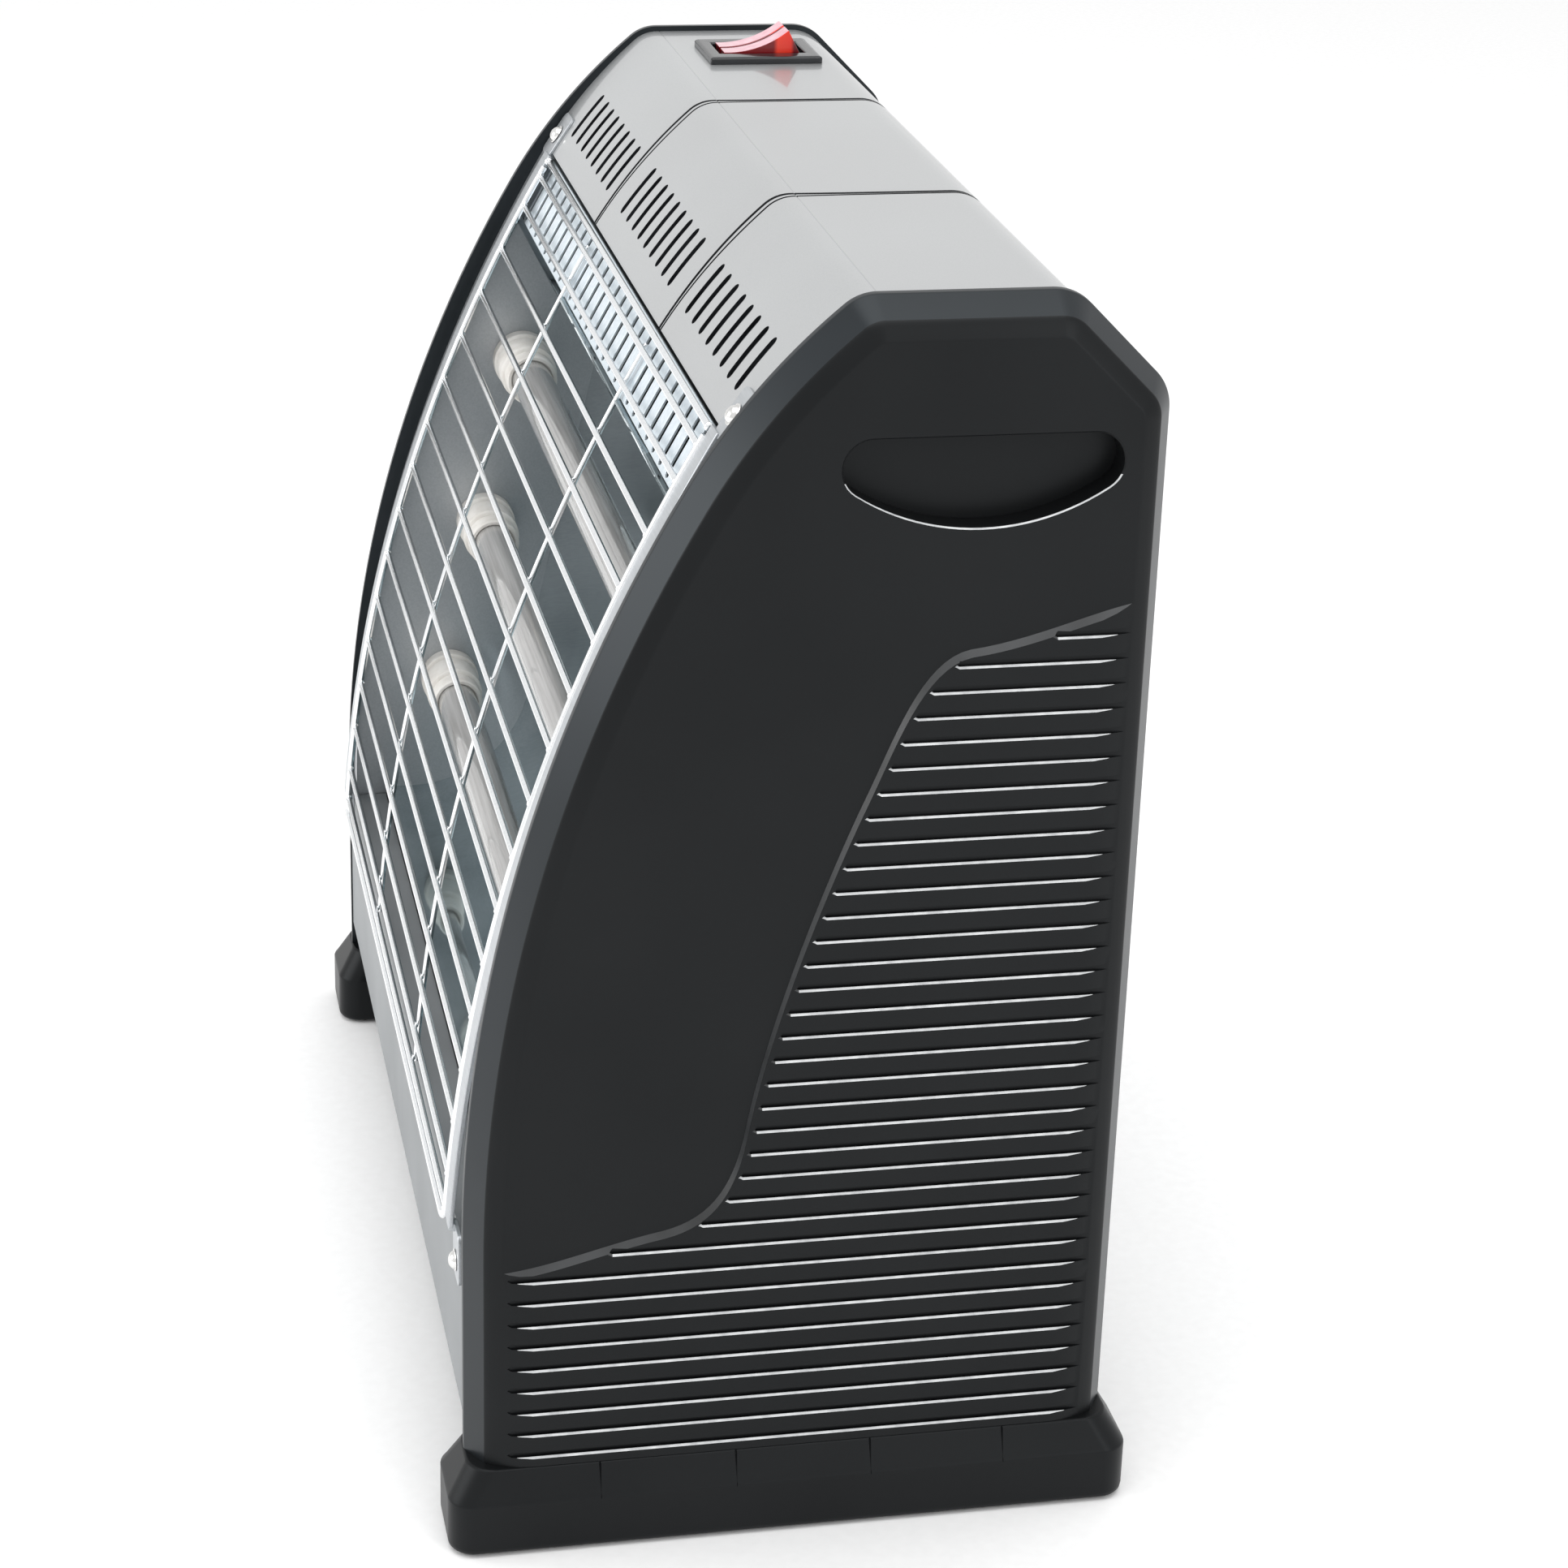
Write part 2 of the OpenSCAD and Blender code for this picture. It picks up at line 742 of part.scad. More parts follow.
module guard_cross_wires() {
    end_x = frame_x - frame_d / 2;
    // The lowest wire ends inside the frame's round corners
    low_end_x = end_x - 1.6;
    color(bright) {
        for (i = [0:wire_n - 1])
            cross_wire(first_wire - i * wire_step, end_x);
        for (a = top_wires)
            cross_wire(a, end_x);
        cross_wire(low_wire, low_end_x);
    }
}

module guard_upright_wires() {
    r = guard_r - (wire_d + upright_d) / 2 - 0.03;
    color(bright)
        for (s = [-1, 1])
            bent_wire(s * upright_x, guard_c, r, low_wire - 0.1, top_wires[0] + 0.1, upright_d);
}

// ---------- fasteners ----------

module guard_screws() {
    color(bright)
        both_sides() {
            on_arc(guard_screw_x, cover_c, cover_r + 1, guard_screw_a)
                screw(6.6, 2.2, 3, 6);
            translate([guard_screw_x, lower_face - 1.2, guard_screw_z])
                rotate([90, 0, 0])
                    screw(6.6, 2.2, 3, 6);
        }
}

module rear_cover_screws() {
    color(bright)
        for (s = [-1, 1], z = rear_screw_z)
            translate([s * rear_screw_x, rear_face, z])
                rotate([-90, 0, 0])
                    screw(6.6, 2.2, 3, 8);
}

module panel_screws() {
    color(bright)
        both_sides()
            for (p = panel_screws_at)
                translate([plate_x, p[0], p[1]])
                    rotate([0, -90, 0])
                        screw(6.6, 2.2, 3, 14);
}

module foot_screws() {
    color(bright)
        for (x = [-1, 1], y = [-1, 1])
            translate([x * foot_screw_x, y * foot_screw_y, panel_z - wall])
                mirror([0, 0, 1])
                    screw(7.5, 2.5, 4, 8);
}

// ---------- switch ----------

module switch_housing() {
    inset = 0.8;
    color("#1d2023")
        difference() {
            union() {
                hull() {
                    translate([switch_x - bezel[0] / 2, switch_y - bezel[1] / 2, cover_z])
                        cube([bezel[0], bezel[1], bezel[2] - inset]);
                    translate([switch_x - bezel[0] / 2 + inset, switch_y - bezel[1] / 2 + inset, cover_z])
                        cube([bezel[0] - 2 * inset, bezel[1] - 2 * inset, bezel[2]]);
                }
                translate([switch_x - switch_body[0] / 2, switch_y - switch_body[1] / 2,
                    cover_z - switch_body[2]])
                    cube([switch_body[0], switch_body[1], switch_body[2] + 0.5]);
            }
            translate([switch_x - well[0] / 2, switch_y - well[1] / 2, well_floor])
                cube([well[0], well[1], 40]);
            rod_x(switch_x - 11, switch_x + 11, switch_y, rocker_axis_z, rocker_pin_d);
            for (y = [-8, 0, 8])
                translate([switch_x - 3, switch_y + y - 0.5, cover_z - switch_body[2] - 1])
                    cube([6, 1, 6]);
        }
}

// The rocker's side outline, about its pin, in its level position
module rocker_outline() {
    top = 7.4;
    tip = 11.7;
    sag = 2.1;
    r = (tip ^ 2 + sag ^ 2) / (2 * sag);
    sweep = asin(tip / r);
    polygon(concat(
        [[-13.2, -1.6]],
        [for (i = [0:10]) let (a = -sweep + 2 * sweep * i / 10) [r * sin(a), top - sag + r - r * cos(a)]],
        [[13.2, -1.6], [6.6, -6.4], [-6.6, -6.4]]));
}

module switch_rocker() {
    color("#c3161c")
        translate([0, switch_y, rocker_axis_z])
            rotate([rocker_tilt, 0, 0])
                difference() {
                    along_x(switch_x - rocker_w / 2, switch_x + rocker_w / 2)
                        rocker_outline();
                    rod_x(switch_x - rocker_w, switch_x + rocker_w, 0, 0, rocker_pin_d + 2 * running);
                    translate([switch_x - 4.5, -4.5, -8])
                        cube([9, 9, 5]);
                }
}

module rocker_pin() {
    color(bright)
        rod_x(switch_x - 11, switch_x + 11, switch_y, rocker_axis_z, rocker_pin_d);
}

module switch_terminals() {
    color("#c8a24a")
        for (y = [-8, 0, 8])
            translate([switch_x - 3, switch_y + y - 0.5, cover_z - switch_body[2] - 8])
                cube([6, 1, 13]);
}

// The small neon lamp that lights the rocker, on the well's floor
module switch_lamp() {
    color("#ff8a3c")
        rod_x(switch_x - 3, switch_x + 3, switch_y, well_floor + 1.2, 2.4);
}

// ---------- tip-over switch ----------

module tilt_switch_case() {
    color("#d9d4c4")
        translate(tilt_pos)
            difference() {
                box([-tilt_box[0] / 2, -tilt_box[1] / 2, 0], [tilt_box[0] / 2, tilt_box[1] / 2, tilt_box[2]]);
                box([-tilt_box[0] / 2 + tilt_wall, -tilt_box[1] / 2 + tilt_wall, tilt_wall],
                    [tilt_box[0] / 2 - tilt_wall, tilt_box[1] / 2 - tilt_wall, tilt_box[2] - tilt_wall]);
                rod_x(-tilt_box[0], tilt_box[0], 0, tilt_axis_h, 3);
            }
}

module tilt_switch_pin() {
    color(bright)
        translate(tilt_pos)
            rod_x(-tilt_box[0] / 2, tilt_box[0] / 2, 0, tilt_axis_h, 3);
}

module tilt_pendulum() {
    color("#8f8f93")
        translate(tilt_pos)
            translate([0, 0, tilt_axis_h])
                difference() {
                    union() {
                        rod_x(-4, 4, 0, 0, 7);
                        box([-2, -2.5, -tilt_arm], [2, 2.5, 0]);
                        rod_x(-9, 9, 0, -tilt_arm, 11);
                    }
                    rod_x(-12, 12, 0, 0, 3 + 2 * running);
                }
}

// ---------- electrical parts ----------

module thermal_cutout() {
    z = 240;
    color("#2b2b2d")
        translate([0, mirror_y(z) + mirror_t / cos(lean_a), z])
            rotate([-90 - lean_a, 0, 0]) {
                cylinder(h = 7, d = 15);
                for (s = [-1, 1])
                    translate([s * 3.5 - 1, -0.4, 6])
                        cube([2, 0.8, 8]);
            }
}

module terminal_block() {
    color("#ece8dc")
        translate(block_pos)
            difference() {
                box([-block[0] / 2, -block[1] / 2, 0], [block[0] / 2, block[1] / 2, block[2]]);
                for (i = [-1:1]) {
                    translate([i * 10, 0, 5])
                        cylinder(h = 20, d = 5);
                    rod_y(i * 10, -block[1], block[1], 6.5, 3);
                }
            }
}

module terminal_screws() {
    color("#c8a24a")
        translate(block_pos)
            for (i = [-1:1])
                translate([i * 10, 0, 8])
                    cylinder(h = 6, d = 4.8);
}

// A sleeved lead along one axis, with a square clip at its turn
module clip(p) {
    translate(p)
        cube(4, center = true);
}

module internal_wiring() {
    d = 2.2;
    bus_x = pin_x + d / 2 + 0.2;
    top = [tube_y(tube_z[0]), tube_z[0]];
    low = [tube_y(tube_z[2]), tube_z[2]];
    end_z = cover_z - switch_body[2] - 9;
    rear_y = 84;
    color("#efe9dd") {
        // A bus wire joins the pins on each side
        both_sides()
            translate([bus_x, low[0], low[1]])
                rotate([-lean_a, 0, 0])
                    cylinder(h = (top[1] - low[1]) / cos(lean_a), d = d);
        // The switched lead, from the switch down to the terminals
        translate([switch_x, switch_y, end_z - 20])
            cylinder(h = 20, d = d);
        clip([switch_x, switch_y, end_z - 21]);
        rod_y(switch_x, switch_y, rear_y, end_z - 21, d);
        clip([switch_x, rear_y, end_z - 21]);
        translate([switch_x, rear_y, 80])
            cylinder(h = end_z - 101, d = d);
        clip([switch_x, rear_y, 80]);
        rod_x(switch_x, block_pos[0] - block[0] / 2 - 4, rear_y, 80, d);
        // The lead from the terminals to the tip-over switch
        rod_x(block_pos[0] + block[0] / 2 + 1, tilt_pos[0] - tilt_box[0] / 2 - 1, block_pos[1], 46, d);
    }
}

module cable_gland() {
    color("#1b1b1c")
        translate(gland_pos)
            difference() {
                union() {
                    rod_y(0, -6, 0, 0, 12);
                    rod_y(0, 0, 3, 0, 17);
                    rod_y(0, 3, gland_l - 6, 0, 11);
                    difference() {
                        rod_y(0, -9, -sheet_t, 0, 15);
                        rod_y(0, -6, 1, 0, 12);
                    }
                }
                rod_y(0, -gland_l, gland_l, 0, gland_bore);
            }
}

left() side_panel();  // side_panel_left
side_panel();  // side_panel_right
left() foot();  // foot_left
foot();  // foot_right
foot_pads();
top_cover();
rear_cover();
lower_front_panel();
bottom_plate();
left() end_plate();  // end_plate_left
end_plate();  // end_plate_right
reflector();
reflector_canopy();
quartz_tube(0);  // quartz_tube_1
quartz_tube(1);  // quartz_tube_2
quartz_tube(2);  // quartz_tube_3
heating_coil(0);  // heating_coil_1
heating_coil(1);  // heating_coil_2
heating_coil(2);  // heating_coil_3
left() ceramic_caps();  // ceramic_caps_left
ceramic_caps();  // ceramic_caps_right
left() contact_pins();  // contact_pins_left
contact_pins();  // contact_pins_right
left() guard_strip();  // guard_strip_left
guard_strip();  // guard_strip_right
guard_frame_wire();
guard_cross_wires();
guard_upright_wires();
guard_screws();
rear_cover_screws();
panel_screws();
foot_screws();
switch_housing();
switch_rocker();
rocker_pin();
switch_terminals();
switch_lamp();
tilt_switch_case();
tilt_pendulum();
tilt_switch_pin();
thermal_cutout();
terminal_block();
terminal_screws();
internal_wiring();
cable_gland();
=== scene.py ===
"""A free-standing quartz radiant heater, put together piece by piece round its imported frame.

Sizes are in millimetres: +Z is up, the guard faces -Y and x = 0 is the middle of the heater.
"""

from math import asin, atan, atan2, cos, degrees, exp, pi, radians, sin, sqrt

import bmesh
import bpy
from mathutils import Matrix, Vector
from mathutils.geometry import intersect_point_line


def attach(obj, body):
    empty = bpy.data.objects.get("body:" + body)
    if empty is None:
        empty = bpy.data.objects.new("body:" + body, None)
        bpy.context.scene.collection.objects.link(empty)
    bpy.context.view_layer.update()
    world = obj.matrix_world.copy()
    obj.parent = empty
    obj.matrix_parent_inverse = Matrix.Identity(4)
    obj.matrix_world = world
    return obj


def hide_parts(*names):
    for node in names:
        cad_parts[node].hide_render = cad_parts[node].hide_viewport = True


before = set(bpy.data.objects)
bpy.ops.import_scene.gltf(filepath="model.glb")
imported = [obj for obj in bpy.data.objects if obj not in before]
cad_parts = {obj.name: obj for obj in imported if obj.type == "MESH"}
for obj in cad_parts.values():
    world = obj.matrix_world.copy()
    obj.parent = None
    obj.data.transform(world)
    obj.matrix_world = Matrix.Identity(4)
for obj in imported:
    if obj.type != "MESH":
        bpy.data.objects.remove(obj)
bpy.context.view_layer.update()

# ---- Camera, lights and floor ----
# A studio sweep: pale paper on the floor, a white room and three soft boxes. The camera looks
# down on the right-hand end of the heater through a long lens, rolled a little.

turn, lift, roll = radians(77.76), radians(22.97), radians(1.818)
camera_spot = (1.1008, -0.2072, 0.6381)
room_light = 0.93
floor_half = 6000
fibres_per_metre = 240.0
back = Vector((sin(turn) * cos(lift), -cos(turn) * cos(lift), sin(lift)))
level = Vector((cos(turn), sin(turn), 0))
above = back.cross(level)
camera_x = cos(roll) * level + sin(roll) * above
camera_y = -sin(roll) * level + cos(roll) * above
place = Matrix((camera_x, camera_y, back)).transposed().to_4x4()
place.translation = Vector(camera_spot)
camera = bpy.data.objects.new("camera", bpy.data.cameras.new("camera"))
camera.data.lens = 84.12
camera.data.sensor_width = 36
camera.data.clip_start = 0.05
camera.matrix_world = place
scene = bpy.context.scene
scene.collection.objects.link(camera)
scene.camera = camera
scene.view_settings.view_transform = "Standard"


def linear(code):
    """The linear colour of an sRGB hex value such as '#8a8f94'."""
    parts = [int(code[i : i + 2], 16) / 255 for i in (1, 3, 5)]
    return tuple(p / 12.92 if p <= 0.04045 else ((p + 0.055) / 1.055) ** 2.4 for p in parts) + (1,)


def add(tree, kind, settings=None, links=None):
    """Adds a shader node, sets its options and sockets, and joins its inputs to other nodes.

    The "stops" of a colour ramp are pairs of a position and an sRGB hex value.
    """
    node = tree.nodes.new("ShaderNode" + kind)
    for key, value in (settings or {}).items():
        if key == "stops":
            while len(node.color_ramp.elements) < len(value):
                node.color_ramp.elements.new(0.5)
            for element, (position, code) in zip(node.color_ramp.elements, value):
                element.position = position
                element.color = linear(code)
        elif hasattr(node, key):
            setattr(node, key, value)
        else:
            node.inputs[key].default_value = value
    for key, value in (links or {}).items():
        tree.links.new(value, node.inputs[key])
    return node


def finish(name, settings):
    """A named material with its node tree and its main shader, set to uniform values."""
    material = bpy.data.materials.new(name)
    material.use_nodes = True
    tree = material.node_tree
    shader = tree.nodes["Principled BSDF"]
    for key, value in settings.items():
        shader.inputs[key].default_value = value
    place = add(tree, "TexCoord").outputs["Object"]
    return material, tree, shader, place


def join(tree, shader, tint, gloss=None, skin=None):
    """Joins a finish's colour ramp, gloss range and relief to its main shader."""
    tree.links.new(tint.outputs["Color"], shader.inputs["Base Color"])
    if gloss:
        tree.links.new(gloss.outputs["Result"], shader.inputs["Roughness"])
    if skin:
        tree.links.new(skin.outputs["Normal"], shader.inputs["Normal"])


def solid(name, points, faces, material, crease=30):
    """A mesh from points in millimetres, shaded smooth except across edges sharper than crease."""
    mesh = bpy.data.meshes.new(name)
    mesh.from_pydata([tuple(c / 1000 for c in p) for p in points], [], faces)
    mesh.validate()
    shape = bmesh.new()
    shape.from_mesh(mesh)
    bmesh.ops.remove_doubles(shape, verts=shape.verts, dist=1e-7)
    bmesh.ops.recalc_face_normals(shape, faces=shape.faces)
    shape.to_mesh(mesh)
    shape.free()
    piece = bpy.data.objects.new(name, mesh)
    scene.collection.objects.link(piece)
    mesh.materials.append(material)
    mesh.polygons.foreach_set("use_smooth", [True] * len(mesh.polygons))
    mesh.set_sharp_from_angle(angle=radians(crease))
    mesh.update()
    return piece


world = bpy.data.worlds.new("white room")
scene.world = world
world.use_nodes = True
walls = world.node_tree.nodes["Background"]
walls.inputs["Color"].default_value = (1, 1, 1, 1)
walls.inputs["Strength"].default_value = room_light

for name, spot, aim, width, height, power in (
    ("overhead box", (0.3, -0.1, 1.9), (0, 0, 0.2), 1.6, 1.6, 15),
    ("front box", (-0.1, -1.9, 0.9), (0, 0, 0.2), 1.4, 1.0, 13),
    ("end strip", (1.7, 0.9, 0.9), (0.1, 0, 0.2), 0.5, 1.5, 6),
):
    lamp = bpy.data.lights.new(name, "AREA")
    lamp.shape = "RECTANGLE"
    lamp.size = width
    lamp.size_y = height
    lamp.energy = power
    box = bpy.data.objects.new(name, lamp)
    box.location = spot
    box.rotation_euler = (Vector(aim) - Vector(spot)).to_track_quat("-Z", "Y").to_euler()
    scene.collection.objects.link(box)

paper, paper_tree, paper_shader, paper_place = finish(
    "white paper sweep", {"Roughness": 0.85, "Specular IOR Level": 0.2}
)
fibre = add(
    paper_tree, "TexNoise", {"Scale": fibres_per_metre, "Detail": 3.0}, {"Vector": paper_place}
)
tint = add(
    paper_tree,
    "ValToRGB",
    {"stops": ((0.3, "#f9f9f9"), (0.7, "#fdfdfd"))},
    {"Fac": fibre.outputs["Fac"]},
)
join(paper_tree, paper_shader, tint)
corners = [(a * floor_half, b * floor_half, 0) for a, b in ((-1, -1), (1, -1), (1, 1), (-1, 1))]
floor = solid("floor", corners, [(0, 1, 2, 3)], paper)

# ---- Side panels ----
# Two mirrored mouldings in black ABS with a fine spark-eroded texture. A narrow rim slopes out
# to a crisp edge, and the face carries a finger hold and a lower field of moulded ribs.

half_depth, panel_top = 98, 378.324
belly_centre, belly_radius = (361, 95), 459
shoulder_centre, shoulder_radius = (128.039, 229.5), 190
bevel_line, foot_top = 448, 28


def arc(centre, radius, start, end, count):
    """Points (y, z) on an arc: 0 degrees is the front, 90 the top and 180 the back."""
    angles = [radians(start + (end - start) * i / count) for i in range(count + 1)]
    return [(centre[0] - radius * cos(a), centre[1] + radius * sin(a)) for a in angles]


def curve(a, b, c, d, count):
    """Points on a cubic curve after its first end."""
    steps = [i / count for i in range(1, count + 1)]
    weights = [((1 - t) ** 3, 3 * (1 - t) ** 2 * t, 3 * (1 - t) * t * t, t**3) for t in steps]
    return [
        tuple(p * a[k] + q * b[k] + r * c[k] + s * d[k] for k in (0, 1)) for p, q, r, s in weights
    ]


def rim(inset):
    """The side panel's outline (y, z), moved inwards. Tight corners keep a radius of 4."""
    fold = max(14 - inset, 4)
    bend = max(15 - inset, 4)
    top = panel_top - inset
    low, high = belly_centre[1], top - fold - shoulder_centre[1]
    fold_y = shoulder_centre[0] - sqrt((shoulder_radius - inset - fold) ** 2 - high**2)
    fold_end = degrees(atan2(high, shoulder_centre[0] - fold_y))
    bevel = bevel_line - (inset + bend) * sqrt(2)
    back = half_depth - inset - bend
    return (
        [(-half_depth + inset, foot_top + (low - foot_top) * i / 4) for i in range(4)]
        + arc(belly_centre, belly_radius - inset, 0, 30, 30)
        + arc(shoulder_centre, shoulder_radius - inset, 31, fold_end - 1, 18)
        + arc((fold_y, top - fold), fold, fold_end, 90, 10)
        + arc((bevel - (top - bend), top - bend), bend, 90, 135, 10)
        + arc((back, bevel - back), bend, 135, 180, 10)
        + [
            (half_depth - inset, (bevel - back) * (1 - i / 12) + foot_top * i / 12)
            for i in range(1, 13)
        ]
    )


def loft(rows, caps=True):
    """The (points, faces) of a skin over equal rows of points, with its ends capped."""
    n = len(rows[0])
    points = [p for row in rows for p in row]
    faces = []
    for i in range(len(rows) - 1):
        for j in range(n):
            k = (j + 1) % n
            faces.append((i * n + j, i * n + k, (i + 1) * n + k, (i + 1) * n + j))
    if caps:
        faces.append(tuple(range(n - 1, -1, -1)))
        faces.append(tuple((len(rows) - 1) * n + j for j in range(n)))
    return points, faces


def prism(outline, low, high):
    """A (y, z) outline run along X from low to high."""
    return loft([[(x, y, z) for y, z in outline] for x in (low, high)])


def joined(parts):
    """Several (points, faces) as one."""
    points, faces = [], []
    for some_points, some_faces in parts:
        faces += [tuple(i + len(points) for i in face) for face in some_faces]
        points += list(some_points)
    return points, faces


def flat_copy(piece):
    """Bakes a piece's modifiers into its mesh."""
    ready = piece.evaluated_get(bpy.context.evaluated_depsgraph_get())
    baked = bpy.data.meshes.new_from_object(ready)
    piece.modifiers.clear()
    piece.data = baked


def carve(piece, cutters):
    """Cuts (points, faces) shapes out of a piece."""
    points, faces = joined(cutters)
    tool = solid("cutter", points, faces, piece.data.materials[0])
    cut = piece.modifiers.new("cut", "BOOLEAN")
    cut.operation = "DIFFERENCE"
    cut.solver = "EXACT"
    cut.use_self = True
    cut.object = tool
    flat_copy(piece)
    bpy.data.objects.remove(tool)


def soften(piece, radius, crease=30, rings=2):
    """Rounds a piece's sharp edges by a radius in millimetres, and keeps its flats flat."""
    piece.data.polygons.foreach_set("use_smooth", [True] * len(piece.data.polygons))
    piece.data.set_sharp_from_angle(angle=radians(crease))
    edge = piece.modifiers.new("edge radius", "BEVEL")
    edge.width = radius / 1000
    edge.segments = rings
    edge.limit_method = "ANGLE"
    edge.angle_limit = radians(crease)
    edge.use_clamp_overlap = True
    edge.harden_normals = False
    flat = piece.modifiers.new("flat faces", "WEIGHTED_NORMAL")
    flat.keep_sharp = True
    return piece


def mirrored(shape):
    """The same (points, faces) on the other side of the heater."""
    return [(-x, y, z) for x, y, z in shape[0]], shape[1]


def handed(side, shape):
    """A right-hand (points, faces) shape, or its mirror image for the left."""
    return shape if side == "right" else mirrored(shape)


def fit(piece, replaced, body="case"):
    """Rides a piece on its body, in place of CAD nodes, which it hides."""
    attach(piece, body)
    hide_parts(*replaced)


# Black ABS, moulded against a spark-eroded tool: satin, with a grain of about 0.35 mm that
# spreads the highlights, and slow changes in gloss where the plastic cooled unevenly.
abs_black, tree, shader, place = finish(
    "moulded black ABS",
    {"IOR": 1.53, "Specular IOR Level": 0.17, "Specular Tint": (0.93, 0.97, 1.0, 1.0)},
)
grain = add(
    tree, "TexNoise", {"Scale": 1 / 0.00035, "Detail": 2.0, "Roughness": 0.6}, {"Vector": place}
)
cooling = add(tree, "TexNoise", {"Scale": 1 / 0.06, "Detail": 2.0}, {"Vector": place})
tint = add(
    tree,
    "ValToRGB",
    {"stops": ((0.35, "#0f1011"), (0.65, "#131415"))},
    {"Fac": cooling.outputs["Fac"]},
)
gloss = add(tree, "MapRange", {"To Min": 0.33, "To Max": 0.42}, {"Value": cooling.outputs["Fac"]})
skin = add(tree, "Bump", {"Strength": 0.12, "Distance": 0.00004}, {"Height": grain.outputs["Fac"]})
join(tree, shader, tint, gloss, skin)

# Painted highlight: the upward-facing lower lips of the grooves and of the finger hold get a
# near-white colour that stands for the light they catch along the edge.
lip_painted_highlight, tree, shader, place = finish("black ABS, painted lip highlight", {"IOR": 1.53})
lip_highlight_noise = add(tree, "TexNoise", {"Scale": 1 / 0.004, "Detail": 2.0}, {"Vector": place})
tint = add(
    tree,
    "ValToRGB",
    {"stops": ((0.3, "#b9bbbd"), (0.7, "#dcdedf"))},
    {"Fac": lip_highlight_noise.outputs["Fac"]},
)
gloss = add(tree, "MapRange", {"To Min": 0.2, "To Max": 0.3}, {"Value": lip_highlight_noise.outputs["Fac"]})
join(tree, shader, tint, gloss)

# The sloping rim comes from a smoother part of the tool and is a little glossier. Its lighter,
# bluer colour and blue specular tint are a painted reflection of the pale room above it.
rim_gloss_painted_sheen, tree, shader, place = finish(
    "smooth ABS rim, painted blue-grey sheen",
    {"IOR": 1.53, "Specular IOR Level": 0.3, "Specular Tint": (0.85, 0.94, 1.0, 1.0)},
)
shrink = add(tree, "TexNoise", {"Scale": 1 / 0.05, "Detail": 2.0}, {"Vector": place})
tint = add(
    tree,
    "ValToRGB",
    {"stops": ((0.35, "#131618"), (0.65, "#191c1f"))},
    {"Fac": shrink.outputs["Fac"]},
)
gloss = add(tree, "MapRange", {"To Min": 0.3, "To Max": 0.38}, {"Value": shrink.outputs["Fac"]})
join(tree, shader, tint, gloss)

# Painted highlight: the sloping faces of the S-shaped step get a lighter satin grey for the
# light they catch, so the step draws a soft line between the plain face and the ribs.
step_painted_highlight, tree, shader, place = finish(
    "ABS step, painted highlight", {"IOR": 1.53, "Specular IOR Level": 0.6}
)
step_highlight_noise = add(tree, "TexNoise", {"Scale": 1 / 0.02, "Detail": 3.0}, {"Vector": place})
tint = add(
    tree, "ValToRGB", {"stops": ((0.3, "#1e2021"), (0.7, "#353739"))}, {"Fac": step_highlight_noise.outputs["Fac"]}
)
gloss = add(tree, "MapRange", {"To Min": 0.25, "To Max": 0.35}, {"Value": step_highlight_noise.outputs["Fac"]})
join(tree, shader, tint, gloss)

section = ((0, 0), (2.2, 0), (2.7, 0.2), (11.2, 4.95), (11.7, 5.35), (12.3, 6.3), (13.0, 7.6))
section += ((13.8, 9.6), (14.5, 12.0), (15.1, 15.0), (15.5, 19.0))
inner_x = 175
face_x = inner_x + section[-1][0]
face_depth = 1.4
plain_x = face_x - face_depth
step = (
    [(112, 292.5), (98, 292.5)]
    + curve((98, 292.5), (84, 293.5), (64, 282.5), (42, 280), 16)
    + curve((42, 280), (28, 277.5), (21, 253), (14, 237), 16)
    + curve((14, 237), (5, 216), (-11, 172), (-17, 138), 12)
    + curve((-17, 138), (-20, 118), (-26, 107), (-41, 103.8), 16)
    + curve((-41, 103.8), (-62, 100), (-76, 93), (-98, 93), 16)
    + [(-112, 93)]
)
hold_y, hold_z, hold_reach, hold_end = 43.4, 332.8, 30.8, 8.5
hold_turn, hold_sweep = 57.1, 65.2
hold = (
    arc((hold_y + hold_reach, hold_z), hold_end, 90, 180 + hold_turn, 14)
    + arc((hold_y, 380.4), hold_sweep, 180 + hold_turn, 360 - hold_turn, 24)
    + arc((hold_y - hold_reach, hold_z), hold_end, -hold_turn, 90, 14)
)
hold_depth = 9
rib_low, rib_pitch, rib_count = 31.2, 7.4, 35


def step_at(z):
    """The hindmost place of the S-shaped step at a height."""
    places = [-112]
    for a, b in zip(step, step[1:]):
        if (a[1] - z) * (b[1] - z) <= 0 and a[1] != b[1]:
            places.append(a[0] + (b[0] - a[0]) * (z - a[1]) / (b[1] - a[1]))
    return max(places)


def rib_groove(z):
    """One groove between two ribs: a square top, a flared lower lip and a pointed back end."""
    front = max(-86.5, step_at(z) + 1.6, step_at(z + 1.9) + 1.6)
    back = [(94.4, z + 2.0), (88, z + 1.8), (front + 1.2, z + 1.8)]
    side = [(front, z + 0.7), (front + 1.2, z), (89.5, z)] + back
    flare = [(front - 1, z - 1.9), (front + 1.2, z - 2.55), (87.5, z - 2.55)] + back
    rows = ((plain_x - 0.1, side), (face_x - 0.55, side), (face_x + 2, flare))
    return loft([[(x, a, b) for a, b in line] for x, line in rows])


